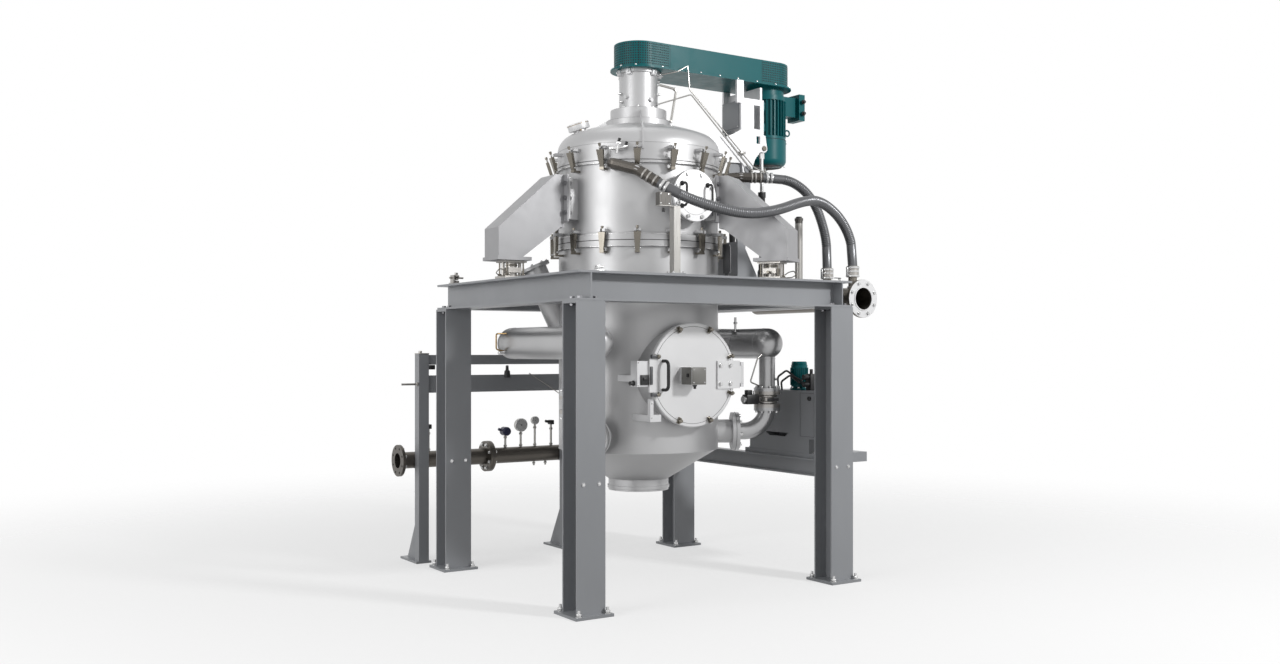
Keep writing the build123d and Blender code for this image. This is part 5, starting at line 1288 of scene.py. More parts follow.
@dataclass
class DomeTrim(Assembly):
    """Weld lines, port cap and valve cluster of the tilting lid."""

    # height and radius of each weld
    welds: tuple[Pair, ...] = ((3.003, 0.58), (3.2355, 0.2305), (3.314, 0.1995))
    port: Point = (-0.441, 0.074, 3.142)
    port_axis: Point = (-0.3172, 0.0532, 0.9469)
    port_stems: tuple[Point, Point] = ((-0.02, -0.048, -0.004), (0.03, 0.046, 0.008))
    valves: tuple[Point, ...] = ((-0.482, -0.405, 2.95), (-0.442, -0.436, 2.985), (-0.402, -0.462, 2.962))
    valve_azimuth: float = -137.0

    def port_fittings(self) -> None:
        """The cap of the small port, and the brass rim and stems under it."""
        port, axis = Vector(self.port), Vector(self.port_axis)
        cap = self.turned("port_cap", [(0.0, 0.004), (0.072, 0.004), (0.079, 0.001), (0.079, -0.004),
                                       (0.077, -0.006), (0.077, -0.04), (0.074, -0.046), (0.05, -0.046)], 48)
        self.place(cap, tuple(port + 0.058 * axis), self.port_axis)
        self.deliver(cap, COVER, Body.HEAD)
        rim = self.hoop("port_rim", tuple(port + 0.0505 * axis), self.port_axis, 0.045, 0.0788, 0.003)
        stems = []
        for spot in self.port_stems:
            ends = [tuple(port + Vector(spot) + reach * axis) for reach in (0.005, 0.04)]
            stems.append(self.rod("port_stem", *ends, 0.005))
        self.assemble("port_rim", [rim] + stems, BRASS, Body.HEAD)

    def cluster(self) -> None:
        """The small valves in front of the lid's band."""
        inlet, branch, outlet = self.valves
        pipe = [radial(self.valve_azimuth, reach, inlet[2]) for reach in (0.575, 0.625)]
        parts = [self.rod("valve_pipe", *pipe, 0.008), self.rod("valve_body", inlet, outlet, 0.0085),
                 self.rod("valve_branch", (-0.452, -0.43, 2.92), branch, 0.007)]
        parts += [self.hoop("valve_nut", spot, UP, 0.003, 0.015, 0.012, 6) for spot in self.valves]
        self.assemble("lid_valves", parts, BRIGHT, Body.HEAD)
        knobs = [self.rod("valve_knob", (x, y, z + 0.012), (x + 0.004, y - 0.008, z + 0.038), 0.01)
                 for x, y, z in (branch, outlet)]
        self.assemble("lid_valve_knobs", knobs, BLACK, Body.HEAD)

    def build(self) -> None:
        """Makes the welds, the port's fittings and the valves."""
        welds = [self.hoop("lid_weld", (0, 0, height), UP, radius - 0.004, radius + 0.001, 0.0026, 96)
                 for height, radius in self.welds]
        self.assemble("lid_welds", welds, WELD, Body.HEAD)
        self.port_fittings()
        self.cluster()


@dataclass
class GuardTrim(Assembly):
    """Perforation, panel seams and screws of the belt guard."""

    half: float = 0.175
    bottom: float = 3.61
    top: float = 3.787
    ends: Pair = (0.0, 1.16)
    reach: Pair = (0.155, 0.994)
    pitch: float = 0.0172
    hole: float = 0.0094
    row_start: float = 0.014
    row_margin: float = 0.016
    column_margin: float = 0.01
    lip: float = 0.189
    kink: float = -0.092
    side_screws: tuple[float, ...] = (0.08, 0.246, 0.416, 0.587, 0.755, 0.934, 1.11)
    end_screws: tuple[float, ...] = (-0.9, -0.3, 0.3, 0.9)

    def wrap(self, distance: float, end: int) -> tuple[Point, float]:
        """A place on the outline of one end, and the direction that it faces.

        Args:
            distance: the way along the outline from the middle of the round end.
            end: 0 for the end over the vessel, 1 for the end over the motor.

        Returns:
            The place at the lower edge, and its azimuth in degrees.
        """
        arc = self.half * math.pi / 2
        side = 1 if distance > 0 else -1
        away = -1 if end == 0 else 1
        if abs(distance) <= arc:
            azimuth = math.degrees(distance / self.half)
            turn = math.radians(azimuth)
            spot = (self.ends[end] + away * self.half * math.cos(turn), self.half * math.sin(turn), self.bottom)
            facing = math.degrees(math.atan2(math.sin(turn), away * math.cos(turn)))
            return spot, facing
        return (self.ends[end] - away * (abs(distance) - arc), side * self.half, self.bottom), 90.0 * side

    def perforation(self) -> None:
        """Rows of small square holes round both ends, each hole a thin dark plate."""
        rows = int((self.top - self.bottom - self.row_margin) / self.pitch)
        hole = self.block("hole", (0.0014, self.hole, self.hole), (0.0, 0.0, 0.0), 0.0006)
        strip = self.pattern(hole, [Matrix.Translation((0, 0, self.row_start + self.pitch * (row + 0.5)))
                                    for row in range(rows)], "hole_strip")
        places = []
        for end, straight in ((0, self.reach[0] - self.ends[0]), (1, self.ends[1] - self.reach[1])):
            arc = self.half * math.pi / 2
            columns = int((arc + straight - self.column_margin) / self.pitch)
            for column in range(-columns, columns + 1):
                spot, facing = self.wrap(column * self.pitch, end)
                places.append(Matrix.Translation(spot) @ Matrix.Rotation(math.radians(facing), 4, "Z"))
        self.deliver(self.pattern(strip, places, "guard_perforation"), SHADOW, Body.HEAD)

    def build(self) -> None:
        """Makes the perforation, the seams and the screws."""
        self.perforation()
        height, middle = self.top - self.bottom - 0.004, (self.top + self.bottom) / 2
        seams = [self.block("seam", (0.0022, 0.0016, height), (x, side * self.half, middle), 0.0005)
                 for x in self.reach for side in SIDES]
        turn = math.acos(self.kink / self.half)
        x, y = self.half * math.cos(turn), self.half * math.sin(turn)
        seams += [self.block("seam", (0.0026, 0.0026, height), (x, side * y, middle), 0.0005) for side in SIDES]
        self.assemble("guard_seams", seams, SHADOW, Body.HEAD)
        screws = [placing((x, side * self.lip, self.bottom)) for side in SIDES for x in self.side_screws]
        screws += [placing((end + side * self.lip * math.cos(turn), self.lip * math.sin(turn), self.bottom))
                   for end, side in zip(self.ends, SIDES) for turn in self.end_screws]
        self.deliver(self.bolts("guard_screws", screws, 0.018, 0.008), BRIGHT, Body.HEAD)


@dataclass
class BearingTrim(Assembly):
    """Holding tabs, fittings and lubrication lines of the bearing housing."""

    housing: float = 0.138
    top: float = 3.6
    tabs: tuple[float, ...] = (175.0, -77.0, -150.0, -30.0, 60.0, 110.0)
    fittings: tuple[Pair, ...] = (
        (-179.0, 3.372), (176.0, 3.431), (-51.0, 3.43), (-51.0, 3.5), (-51.0, 3.572), (-56.0, 3.36))
    oil_hole: Pair = (-90.4, 3.387)  # azimuth and height
    collar: Pair = (3.329, 0.149)  # height and bolt circle
    thin: float = 0.0048
    gas: float = 0.0085
    lower_end: Point = (0.837, -0.24, 2.939)
    upper_end: Point = (0.97, -0.24, 2.927)

    def tab(self, azimuth: float) -> Piece:
        """A tab under the guard's base with its bolt.

        Args:
            azimuth: its direction in degrees.

        Returns:
            The tab.
        """
        middle = (self.housing + 0.012, 0, self.top - 0.0215)
        plate = self.block("tab_plate", (0.03, 0.034, 0.04), middle, 0.003)
        bolt = self.bolt_head("tab_bolt", 0.017, 0.01)
        self.place(bolt, (self.housing + 0.027, 0, self.top - 0.024), RIGHT)
        tab = self.merge("tab", [plate, bolt])
        tab.data.transform(Matrix.Rotation(math.radians(azimuth), 4, "Z"))
        return tab

    def build(self) -> None:
        """Makes the fittings and the lines."""
        tabs = [self.tab(azimuth) for azimuth in self.tabs]
        self.assemble("housing_tabs", tabs, PLATE, Body.HEAD)
        fittings = []
        for azimuth, height in self.fittings:
            stem = [radial(azimuth, self.housing + reach, height) for reach in (-0.004, 0.026)]
            fittings += [self.rod("fitting_stem", *stem, 0.006),
                         self.hoop("fitting_nut", radial(azimuth, self.housing, height),
                                   radial(azimuth, 1.0, 0.0), 0.002, 0.0115, 0.012, 6)]
        self.assemble("housing_fittings", fittings, BRIGHT, Body.HEAD)
        plug = self.turned("oil_hole", [(0.0, -0.002), (0.006, -0.002), (0.008, 0.001), (0.0105, 0.001),
                                        (0.0105, -0.003)], 20)
        azimuth, height = self.oil_hole
        self.place(plug, radial(azimuth, self.housing, height), radial(azimuth, 1.0, 0.0))
        self.deliver(plug, SEAM, Body.HEAD)
        height, radius = self.collar
        collar_bolts = circle((0, 0, height), UP, radius, 8, 11.0)
        self.deliver(self.bolts("collar_bolts", collar_bolts, 0.017, 0.009), BRIGHT, Body.HEAD)
        self.lines()

    def lines(self) -> None:
        """The thin bright lines to the bracket and the gas line to the lid."""
        low, high = self.lower_end, self.upper_end
        upper = self.line("line_upper", [(0.1, -0.125, 3.572), (0.19, -0.215, 3.588), (0.276, -0.222, 3.64),
                                         (0.292, -0.222, 3.472), (0.866, -0.24, 2.959), high], self.thin, False)
        lower = self.line("line_lower", [(0.092, -0.132, 3.362), (0.293, -0.24, 3.433), low], self.thin, False)
        gas = self.line("line_gas", [(0.098, -0.122, 3.5), (0.212, -0.17, 3.472), (0.186, -0.14, 3.243)],
                        self.gas, False)
        nuts = [self.hoop("line_nut", spot, up, 0.004, 0.0135, 0.016, 6)
                for spot, up in (((0.196, -0.163, 3.473), RIGHT), ((0.186, -0.14, 3.236), UP),
                                 (low, (0.6, 0, -0.5)), ((0.968, -0.24, 2.927), (1, 0, -0.2)))]
        cleat = self.block("line_cleat", (0.046, 0.026, 0.02), (0.763, -0.23, 3.06), 0.003)
        ends = [self.rod("line_end", low, (0.862, -0.215, 2.915), 0.008),
                self.rod("line_end", high, (0.985, -0.216, 2.96), 0.008)]
        self.assemble("lubrication_lines", [upper, lower, gas, cleat] + nuts + ends, SILVER, Body.HEAD)


@dataclass
class MotorTrim(Assembly):
    """Lid, screws, glands and grille of the drive motor, with the fittings of its bracket."""

    axis_x: float = 1.16
    radius: float = 0.163
    terminal: Point = (1.5115, 0.005, 3.4985)
    junction: Point = (0.7655, -0.087, 3.351)
    face: float = 0.003
    cowl: Triple = (3.0115, 3.19, 3.211)  # heights of grille, screws and edge
    cowl_screws: tuple[float, ...] = (0.8, 2.4, 3.9, 5.5)
    grille: tuple[float, ...] = (0.03, 0.054, 0.078, 0.102, 0.126)
    glands: Pair = (3.45, 3.54)
    gland_x: float = 1.48
    bracket_x: float = 0.977
    bracket_rows: Triple = (3.26, 3.4, 3.54)
    lug: Pair = (0.981, 3.114)  # place along X and height

    def cover_screws(self) -> None:
        """The lid of the terminal box, and the screws of the lid and of the fan cowl."""
        self.deliver(self.block("terminal_cover", (0.006, 0.13, 0.188), self.terminal, 0.003), TEAL, Body.HEAD)
        x, y, z = self.terminal
        screws = [placing((x + self.face, y + dy, z + dz), RIGHT) for dy, dz in corners(0.055, 0.084)]
        screws += circle((self.axis_x, 0, 3.014), DOWN, 0.15, 4, 45.0)
        skin = self.radius + 0.0005
        screws += [placing((self.axis_x + skin * math.cos(t), skin * math.sin(t), self.cowl[1]),
                           (math.cos(t), math.sin(t), 0)) for t in self.cowl_screws]
        self.deliver(self.screws("motor_screws", screws, 0.0075), BRIGHT, Body.HEAD)

    def cable_glands(self) -> None:
        """The glands of the terminal box and of the junction box."""
        glands = []
        for z in self.glands:
            glands += [self.hoop("gland_nut", (self.gland_x, -0.079, z), FRONT, 0.006, 0.0185, 0.012, 6),
                       self.rod("gland_cap", (self.gland_x, -0.088, z), (self.gland_x, -0.103, z), 0.011)]
        glands.append(self.rod("box_gland", (0.806, -0.135, 3.476), (0.806, -0.135, 3.496), 0.012))
        self.assemble("cable_glands", glands, BLACK, Body.HEAD)

    def fan_cowl(self) -> None:
        """The grille under the fan cowl, and the dark line round its edge."""
        low, _, high = self.cowl
        grille = [self.hoop("grille_ring", (self.axis_x, 0, low), UP, inner, inner + 0.006, 0.004, 40)
                  for inner in self.grille]
        self.assemble("cowl_grille", grille, BLACK, Body.HEAD)
        edge = self.hoop("cowl_edge", (self.axis_x, 0, high), UP, self.radius - 0.01, self.radius + 0.0015,
                         0.004)
        self.deliver(edge, SHADOW, Body.HEAD)

    def bracket(self) -> None:
        """Bolts and pins of the bracket, and the lid of the junction box."""
        places = [placing((self.bracket_x, y, z), RIGHT) for y in (-0.15, 0.15) for z in self.bracket_rows]
        places += [placing((x, side * 0.2155, z), (0, side, 0)) for side in SIDES
                   for x, z in ((0.52, 2.985), (0.6, 3.0))]
        self.deliver(self.bolts("bracket_bolts", places, 0.026, 0.012), BRIGHT, Body.HEAD)
        x, z = self.lug
        pins = [self.rod("lug_pin", (x, side * 0.212, z), (x, side * 0.223, z), 0.02) for side in SIDES]
        self.assemble("lug_pins", pins, LATCH, Body.HEAD)
        lid = self.block("junction_lid", (0.006, 0.196, 0.194), self.junction, 0.003)
        self.deliver(lid, FRAME_PAINT, Body.HEAD)
        x, y, z = self.junction
        screws = [placing((x - self.face, y + dy, z + dz), LEFT) for dy, dz in corners(0.088, 0.087)]
        self.deliver(self.screws("junction_screws", screws, 0.006), BRIGHT, Body.HEAD)

    def build(self) -> None:
        """Makes the fittings of the motor and its bracket."""
        self.cover_screws()
        self.cable_glands()
        self.fan_cowl()
        self.bracket()


@dataclass
class DoorTrim(Assembly):
    """The round door's ring line, bolts, lamp box and clamps, and the fittings of the switch beside it."""

    height: float = 1.44
    front: float = -0.68
    hinge_bolts: tuple[Point, ...] = ((0.216, -0.692, 1.378), (0.216, -0.692, 1.502), (0.3, -0.692, 1.378),
                                      (0.3, -0.692, 1.502))
    nut_circle: float = 0.329
    nut_front: float = -0.709
    lamp_box: Point = (-0.049, -0.7489, 1.436)
    swing_heights: Pair = (1.565, 1.315)
    switch_box: Point = (-0.406, -0.68, 1.452)
    switch_gland: Point = (-0.45, -0.64, 1.39)

    def build(self) -> None:
        """Makes the fittings on the door, then those of the switch."""
        ring = self.hoop("door_ring", (0, self.front + 0.001, self.height), FRONT, 0.3245, 0.327, 0.0018, 72)
        self.deliver(ring, SEAM, Body.DOOR)
        bolts = [placing(spot, FRONT) for spot in self.hinge_bolts]
        self.deliver(self.bolts("hinge_bolts", bolts, 0.026, 0.012), BRIGHT, Body.DOOR)
        nut = self.turned("wing", [(0.0, 0.0), (0.013, 0.0), (0.014, 0.004), (0.009, 0.014), (0.0, 0.016)], 12)
        places = []
        for index in range(8):
            turn = math.radians(22.5 + 45 * index)
            places.append(placing((self.nut_circle * math.cos(turn), self.nut_front,
                                   self.height + self.nut_circle * math.sin(turn)), FRONT))
        self.deliver(self.pattern(nut, places, "clamp_nuts"), LATCH, Body.DOOR)
        self.lamp()
        self.tongue()
        self.switch()

    def lamp(self) -> None:
        """The grey lamp box with its lid, its screws, its gland and its clip."""
        x, y, z = self.lamp_box
        skin = self.block("lamp_skin", (0.1194, 0.12, 0.1174), self.lamp_box, 0.004)
        lid = self.block("lamp_lid", (0.104, 0.004, 0.102), (x, y - 0.0606, z), 0.0015)
        self.assemble("lamp_box", [skin, lid], LAMP_GREY, Body.DOOR)
        screws = [placing((x + dx, y - 0.0626, z + dz), FRONT) for dx, dz in corners(0.044, 0.043)]
        self.deliver(self.screws("lamp_screws", screws, 0.005), BRIGHT, Body.DOOR)
        gland = [self.hoop("lamp_gland_nut", (x, -0.76, 1.3765), DOWN, 0.005, 0.015, 0.01, 6),
                 self.rod("lamp_gland_end", (x, -0.76, 1.37), (x, -0.76, 1.35), 0.009),
                 self.block("lamp_clip", (0.02, 0.012, 0.026), (-0.112, -0.77, 1.44), 0.003)]
        self.assemble("lamp_gland", gland, BLACK, Body.DOOR)

    def tongue(self) -> None:
        """Dark swing clamps at the ends of the tongue, and the black edge strip on it."""
        parts = []
        for z in self.swing_heights:
            parts += [self.block("swing_clamp", (0.07, 0.022, 0.026), (-0.322, -0.7, z), 0.004),
                      self.rod("swing_pin", (-0.3, -0.69, z), (-0.3, -0.722, z), 0.008)]
        parts.append(self.block("tongue_key", (0.018, 0.01, 0.12), (-0.352, -0.697, self.height), 0.003))
        self.assemble("swing_clamps", parts, DARK_PAINT, Body.DOOR)

    def switch(self) -> None:
        """The black cover, the glands and the screws of the door's switch."""
        x, y, z = self.switch_gland
        parts = [self.block("switch_cover", (0.06, 0.014, 0.066), (-0.398, -0.684, 1.412), 0.004),
                 self.rod("switch_gland", self.switch_gland, (x - 0.036, y, z), 0.014),
                 self.hoop("switch_nut", (x - 0.002, y, z), LEFT, 0.006, 0.019, 0.012, 6),
                 self.block("switch_key", (0.03, 0.01, 0.02), (-0.398, -0.694, 1.418), 0.003)]
        self.assemble("switch_parts", parts, BLACK)
        x, y, z = self.switch_box
        screws = [placing((x + dx, y, z + dz), FRONT) for dx, dz in corners(0.036, 0.074)]
        screws += [placing((-0.331, -0.67, z), FRONT) for z in (1.16, 1.255)]
        self.deliver(self.screws("switch_screws", screws, 0.0055), BRIGHT)


@dataclass
class PortTrim(Assembly):
    """The gasket and the face line of the round port, and the feet of its handles."""

    height: float = 2.643
    cover: float = 0.173
    gasket: float = -0.6705
    face: float = -0.6935
    handles: Pair = (0.105, 0.075)

    def build(self) -> None:
        """Makes the gasket, the face line and the feet."""
        gasket = self.hoop("port_gasket", (0, self.gasket, self.height), FRONT, 0.15, self.cover + 0.0012,
                           0.003, 64)
        line = self.hoop("port_line", (0, self.face, self.height), FRONT, 0.1285, 0.13, 0.0012, 64)
        self.assemble("port_gasket", [gasket, line], SEAM)
        places = [placing((x, -0.694, self.height + z), FRONT) for x, z in corners(*self.handles)]
        foot = self.turned("handle_foot", [(0.0165, 0.0), (0.0165, 0.004), (0.0125, 0.01), (0.0082, 0.012)], 20)
        self.deliver(self.pattern(foot, places, "handle_feet"), BLACK)


@dataclass
class HeaderTrim(Assembly):
    """Weld rings, drains and strips of the air headers, and studs, levers and drives of their valves."""

    x: float = 0.805
    z: float = 1.655
    radius: float = 0.1095
    riser_y: float = -0.465
    spans: tuple[Pair, ...] = ((-0.74, 0.394), (-0.47, 0.56))
    weld_inset: float = 0.04
    flanges: tuple[tuple[float, Point], ...] = ((1.336, UP), (1.172, DOWN))
    discs: Pair = (1.224, 1.268)
    spindle: float = 1.254
    drive_reach: float = 0.15
    drive_height: float = 1.256

    def build(self) -> None:
        """Makes the fittings of both headers."""
        self.welds()
        self.valves()
        self.drives()
        self.small()

    def welds(self) -> None:
        """The weld rings at the headers' caps and at their risers."""
        rings = []
        for side, (front, back) in zip(SIDES, self.spans):
            for y in (front + self.weld_inset, back - self.weld_inset):
                rings.append(self.hoop("header_weld", (side * self.x, y - 0.003, self.z), BACK,
                                       self.radius - 0.003, self.radius + 0.0013, 0.006, 64))
            rings.append(self.hoop("riser_weld", (side * self.x, self.riser_y, self.z - 0.112), UP, 0.054,
                                   0.0605, 0.008, 40))
        self.assemble("header_welds", rings, HEADER)

    def valves(self) -> None:
        """The studs, the discs and the levers of the two riser valves."""
        y = self.riser_y
        studs = []
        for side in SIDES:
            for height, up in self.flanges:
                studs += circle((side * self.x, y, height), up, 0.077, 8, 22.5)
        self.deliver(self.bolts("valve_studs", studs, 0.022, 0.012), BRIGHT)
        discs = [self.hoop("valve_body", (side * self.x, y, z), UP, 0.048, 0.074, 0.016, 40)
                 for side in SIDES for z in self.discs]
        self.assemble("valve_discs", discs, PIPE)
        levers = []
        for side in SIDES:
            x, z = side * self.x, self.spindle
            levers += [self.rod("valve_spindle", (x, y - 0.048, z), (x, y - 0.105, z), 0.008),
                       self.block("valve_lever", (0.1, 0.01, 0.02), (x - 0.03, y - 0.105, z), 0.003)]
        self.assemble("valve_levers", levers, SEAM)

    def drives(self) -> None:
        """The small drives beside the riser valves."""
        bodies, ends = [], []
        y, z = self.riser_y, self.drive_height
        for side in SIDES:
            x = side * (self.x - self.drive_reach)
            bodies += [self.block("valve_drive", (0.11, 0.066, 0.07), (x, y, z), 0.009),
                       self.block("drive_switch", (0.044, 0.04, 0.034), (x - side * 0.02, y, z + 0.05), 0.005)]
            tap = x + side * 0.03
            ends += [self.rod("drive_neck", (x + side * 0.05, y, z), (x + side * 0.104, y, z), 0.018),
                     self.rod("drive_end", (x - side * 0.052, y, z), (x - side * 0.072, y, z), 0.026),
                     self.rod("drive_tap", (tap, y, z + 0.032), (tap, y, z + 0.06), 0.008)]
        self.assemble("valve_drives", bodies, BLACK)
        self.assemble("valve_drive_ends", ends, BRIGHT)

    def small(self) -> None:
        """The copper drain loop, the hanger strips, the small nipples and the sense line."""
        loop = self.line("drain_loop", [(-0.88, 0.33, 1.722), (-0.968, 0.33, 1.722), (-0.968, 0.33, 1.612),
                                        (-0.905, 0.33, 1.6)], 0.0055, False)
        self.deliver(loop, BRASS)
        parts = [self.rod("drain_cap", (-0.905, 0.33, 1.588), (-0.95, 0.33, 1.588), 0.015),
                 self.rod("header_nipple", (0.745, -0.17, 1.74), (0.745, -0.17, 1.85), 0.009),
                 self.hoop("nipple_nut", (0.745, -0.17, 1.8), UP, 0.004, 0.016, 0.016, 6),
                 self.block("hanger_strip", (0.17, 0.05, 0.01), (0.655, -0.15, 1.758), 0.002),
                 self.block("hanger_strip", (0.17, 0.05, 0.01), (-0.655, -0.15, 1.758), 0.002),
                 self.rod("riser_tap", (0.855, self.riser_y, 1.398), (0.892, self.riser_y, 1.398), 0.01)]
        self.assemble("header_fittings", parts, BRIGHT)
        tube = self.line("sense_line", [(0.726, -0.5, 1.575), (0.69, -0.5, 1.548), (0.64, -0.48, 1.38),
                                        (0.75, self.riser_y, 1.345)], 0.0055, False)
        self.deliver(tube, SILVER)


@dataclass
class ManifoldTrim(Assembly):
    """Flange face, bolts, hose couplings and tap of the purge manifold."""

    x: float = 1.29
    z: float = 1.973
    front: float = -0.945
    bolt_circle: float = 0.113
    risers: Pair = (-0.838, -0.567)
    rings: tuple[Pair, ...] = ((2.132, 0.049), (2.166, 0.0465), (2.192, 0.049))
    tap: float = -0.7

    def coupling(self, y: float) -> list[Piece]:
        """The rings, the two cam levers and the saddle of one hose coupling.

        Args:
            y: the riser's place along the manifold.

        Returns:
            The pieces, in place.
        """
        rings = [self.hoop("coupling_ring", (self.x, y, height), UP, 0.04, radius, 0.013, 40)
                 for height, radius in self.rings]
        levers = [self.block("cam_lever", (0.01, 0.018, 0.062), (self.x + side * 0.052, y, 2.168), 0.003)
                  for side in SIDES]
        return rings + levers + [self.hoop("saddle", (self.x, y, 2.052), UP, 0.03, 0.04, 0.014, 32)]

    def build(self) -> None:
        """Makes the fittings of the manifold."""
        x, y, z = self.x, self.front, self.z
        faces = [self.hoop("flange_face", (x, y, z), FRONT, 0.0862, 0.1345, 0.0014, 64),
                 self.hoop("inner_collar", (x, y + 0.01, z), FRONT, 0.0782, 0.086, 0.016, 64)]
        self.assemble("manifold_face", faces, COVER)
        bolts = circle((x, y, z), FRONT, self.bolt_circle, 8, 22.5)
        self.deliver(self.bolts("manifold_bolts", bolts, 0.022, 0.011), BRIGHT)
        couplings = [piece for riser in self.risers for piece in self.coupling(riser)]
        self.assemble("coupling_rings", couplings, BRIGHT)
        y = self.tap
        tap = [self.rod("tap_stem", (x, y, 2.05), (x, y, 2.128), 0.009),
               self.hoop("tap_nut", (x, y, 2.078), UP, 0.004, 0.018, 0.018, 6),
               self.rod("tap_side", (x, y, 2.105), (x - 0.04, y, 2.105), 0.008)]
        self.assemble("manifold_tap", tap, BRIGHT)
        lever = self.block("tap_lever", (0.06, 0.014, 0.006), (x - 0.018, y, 2.131), 0.002)
        self.deliver(lever, BLACK)


@dataclass
class SupplyTrim(Assembly):
    """Dials, transmitters, drains and flange bolts of the supply pipe, and the fittings of its stand."""

    y: float = 1.4
    z: float = 0.77
    # place along X, height, radius and depth of each dial
    dials: tuple[tuple[float, ...], ...] = ((-0.219, 1.0062, 0.052, 0.03), (-0.091, 1.0392, 0.032, 0.024))
    ticks: int = 9
    sweep: Pair = (225.0, 33.75)  # first tick and step, in degrees
    needle: float = -150.0
    transmitter: Pair = (-0.357, 0.9604)  # place along X and height
    plugs: Pair = (-1.014, 0.058)
    taps: tuple[Pair, ...] = (
        (-0.357, 0.905), (-0.219, 0.93), (-0.091, 0.975), (-1.014, 0.96), (0.058, 0.96))
    saddle: float = 0.836
    drains: Triple = (-1.025, -0.1, 0.005)
    flanges: tuple[tuple[float, Point], ...] = ((-1.244, RIGHT), (-0.539, LEFT), (-0.493, RIGHT))
    gasket: float = -0.5175
    bar: Point = (-1.155, 1.262, 1.351)

    def dial(self, x: float, height: float, radius: float, depth: float) -> None:
        """A pointer dial: bezel, pale face, ticks and needle.

        Args:
            x: its place along the pipe.
            height: the height of its centre.
            radius: the radius of its case.
            depth: the depth of its case.
        """
        size = int(radius * 1000)
        face = self.y - depth / 2
        bezel = self.hoop(f"bezel_{size}", (x, face + 0.003, height), FRONT, 0.86 * radius, radius + 0.0015,
                          0.007)
        self.deliver(bezel, BRIGHT)
        plate = self.turned(f"dial_{size}", [(0.0, 0.0012), (0.8 * radius, 0.0012), (0.88 * radius, 0.0004),
                                             (0.88 * radius, -0.002)])
        self.place(plate, (x, face, height), FRONT)
        self.deliver(plate, WHITE)
        marks = []
        first, step = self.sweep
        for index in range(self.ticks):
            turn = math.radians(first - step * index)
            mark = self.block("tick", (0.1 * radius, 0.0008, 0.03 * radius), (0.7 * radius, 0, 0), 0.0002)
            mark.data.transform(Matrix.Translation((x, face - 0.0014, height)) @ Matrix.Rotation(-turn, 4, "Y"))
            marks.append(mark)
        needle = self.block("needle", (0.62 * radius, 0.001, 0.035 * radius), (0.22 * radius, 0, 0), 0.0003)
        needle.data.transform(Matrix.Translation((x, face - 0.002, height))
                              @ Matrix.Rotation(math.radians(self.needle), 4, "Y"))
        hub = self.rod("hub", (x, face, height), (x, face - 0.0032, height), 0.09 * radius)
        self.assemble(f"needle_{size}", marks + [needle, hub], BLACK)

    def heads(self) -> None:
        """The transmitter's head and the two black plug heads."""
        x, z = self.transmitter
        head = [self.rod("transmitter", (x, self.y - 0.034, z), (x, self.y + 0.034, z), 0.0355),
                self.rod("transmitter_cap", (x, self.y - 0.046, z), (x, self.y - 0.034, z), 0.03),
                self.rod("transmitter_gland", (-0.395, self.y, 0.972), (-0.418, self.y, 0.979), 0.011)]
        self.assemble("transmitter", head, BLUE)
        plugs = []
        for x in self.plugs:
            plugs += [self.block("plug_block", (0.036, 0.054, 0.036), (x, self.y, 1.02), 0.006),
                      self.rod("plug_gland", (x - 0.016, self.y, 1.024), (x - 0.052, self.y, 1.03), 0.011)]
        self.assemble("plug_heads", plugs, BLACK)

    def fittings(self) -> None:
        """The nuts under the gauges, the drains, the flange bolts and the gasket."""
        nuts = [self.hoop("gauge_nut", (x, self.y, height), UP, 0.006, 0.0155, 0.016, 6)
                for x, height in self.taps + tuple((x, self.saddle) for x, _ in self.taps)]
        for x in self.drains:
            nuts += [self.rod("drain_stem", (x, self.y, 0.712), (x, self.y, 0.676), 0.008),
                     self.hoop("drain_nut", (x, self.y, 0.69), UP, 0.004, 0.0145, 0.012, 6)]
        self.assemble("gauge_fittings", nuts, SILVER)
        places = []
        for x, along in self.flanges:
            places += circle((x, self.y, self.z), along, 0.096, 8, 22.5)
        self.deliver(self.bolts("supply_bolts", places, 0.024, 0.012), BRIGHT)
        seam = self.hoop("supply_gasket", (self.gasket, self.y, self.z), RIGHT, 0.1, 0.1208, 0.003)
        self.deliver(seam, SEAM)

    def stand(self) -> None:
        """The bar, the cap, the cone, the clip and the clamp on the stand."""
        x, y, z = self.bar
        parts = [self.rod("stand_bar", self.bar, (-1.29, y, z), 0.008),
                 self.rod("stand_knob", self.bar, (x - 0.017, y, z), 0.014),
                 self.block("leg_cap", (0.084, 0.084, 0.008), (-1.115, 1.29, 1.581), 0.002),
                 self.rod("cap_bolt", (-1.128, 1.29, 1.584), (-1.128, 1.29, 1.602), 0.013),
                 self.block("clamp_plate", (0.012, 0.06, 0.09), (0.094, 1.255, 1.19), 0.002)]
        parts += [self.rod("clamp_bolt", (0.1, 1.24, z), (0.07, 1.24, z), 0.007) for z in (1.22, 1.16)]
        parts.append(self.line("clamp_wire", [(-0.219, 1.255, 1.425), (-0.06, 1.252, 1.33),
                                              (0.094, 1.25, 1.232)], 0.0035, False))
        self.assemble("stand_fittings", parts, PIPE)
        cone = self.turned("hook_cone", [(0.0, 0.0), (0.024, 0.0), (0.027, 0.004), (0.022, 0.052),
                                         (0.013, 0.06), (0.011, 0.095), (0.0, 0.097)], 24)
        self.place(cone, (-0.41, 1.262, 1.392))
        clip = self.block("stand_clip", (0.046, 0.03, 0.034), (-1.052, 1.25, 1.478), 0.004)
        self.assemble("stand_black_parts", [cone, clip], BLACK)

    def build(self) -> None:
        """Makes the instruments, the drains, the bolts and the stand's fittings."""
        for dial in self.dials:
            self.dial(*dial)
        self.heads()
        self.fittings()
        self.stand()


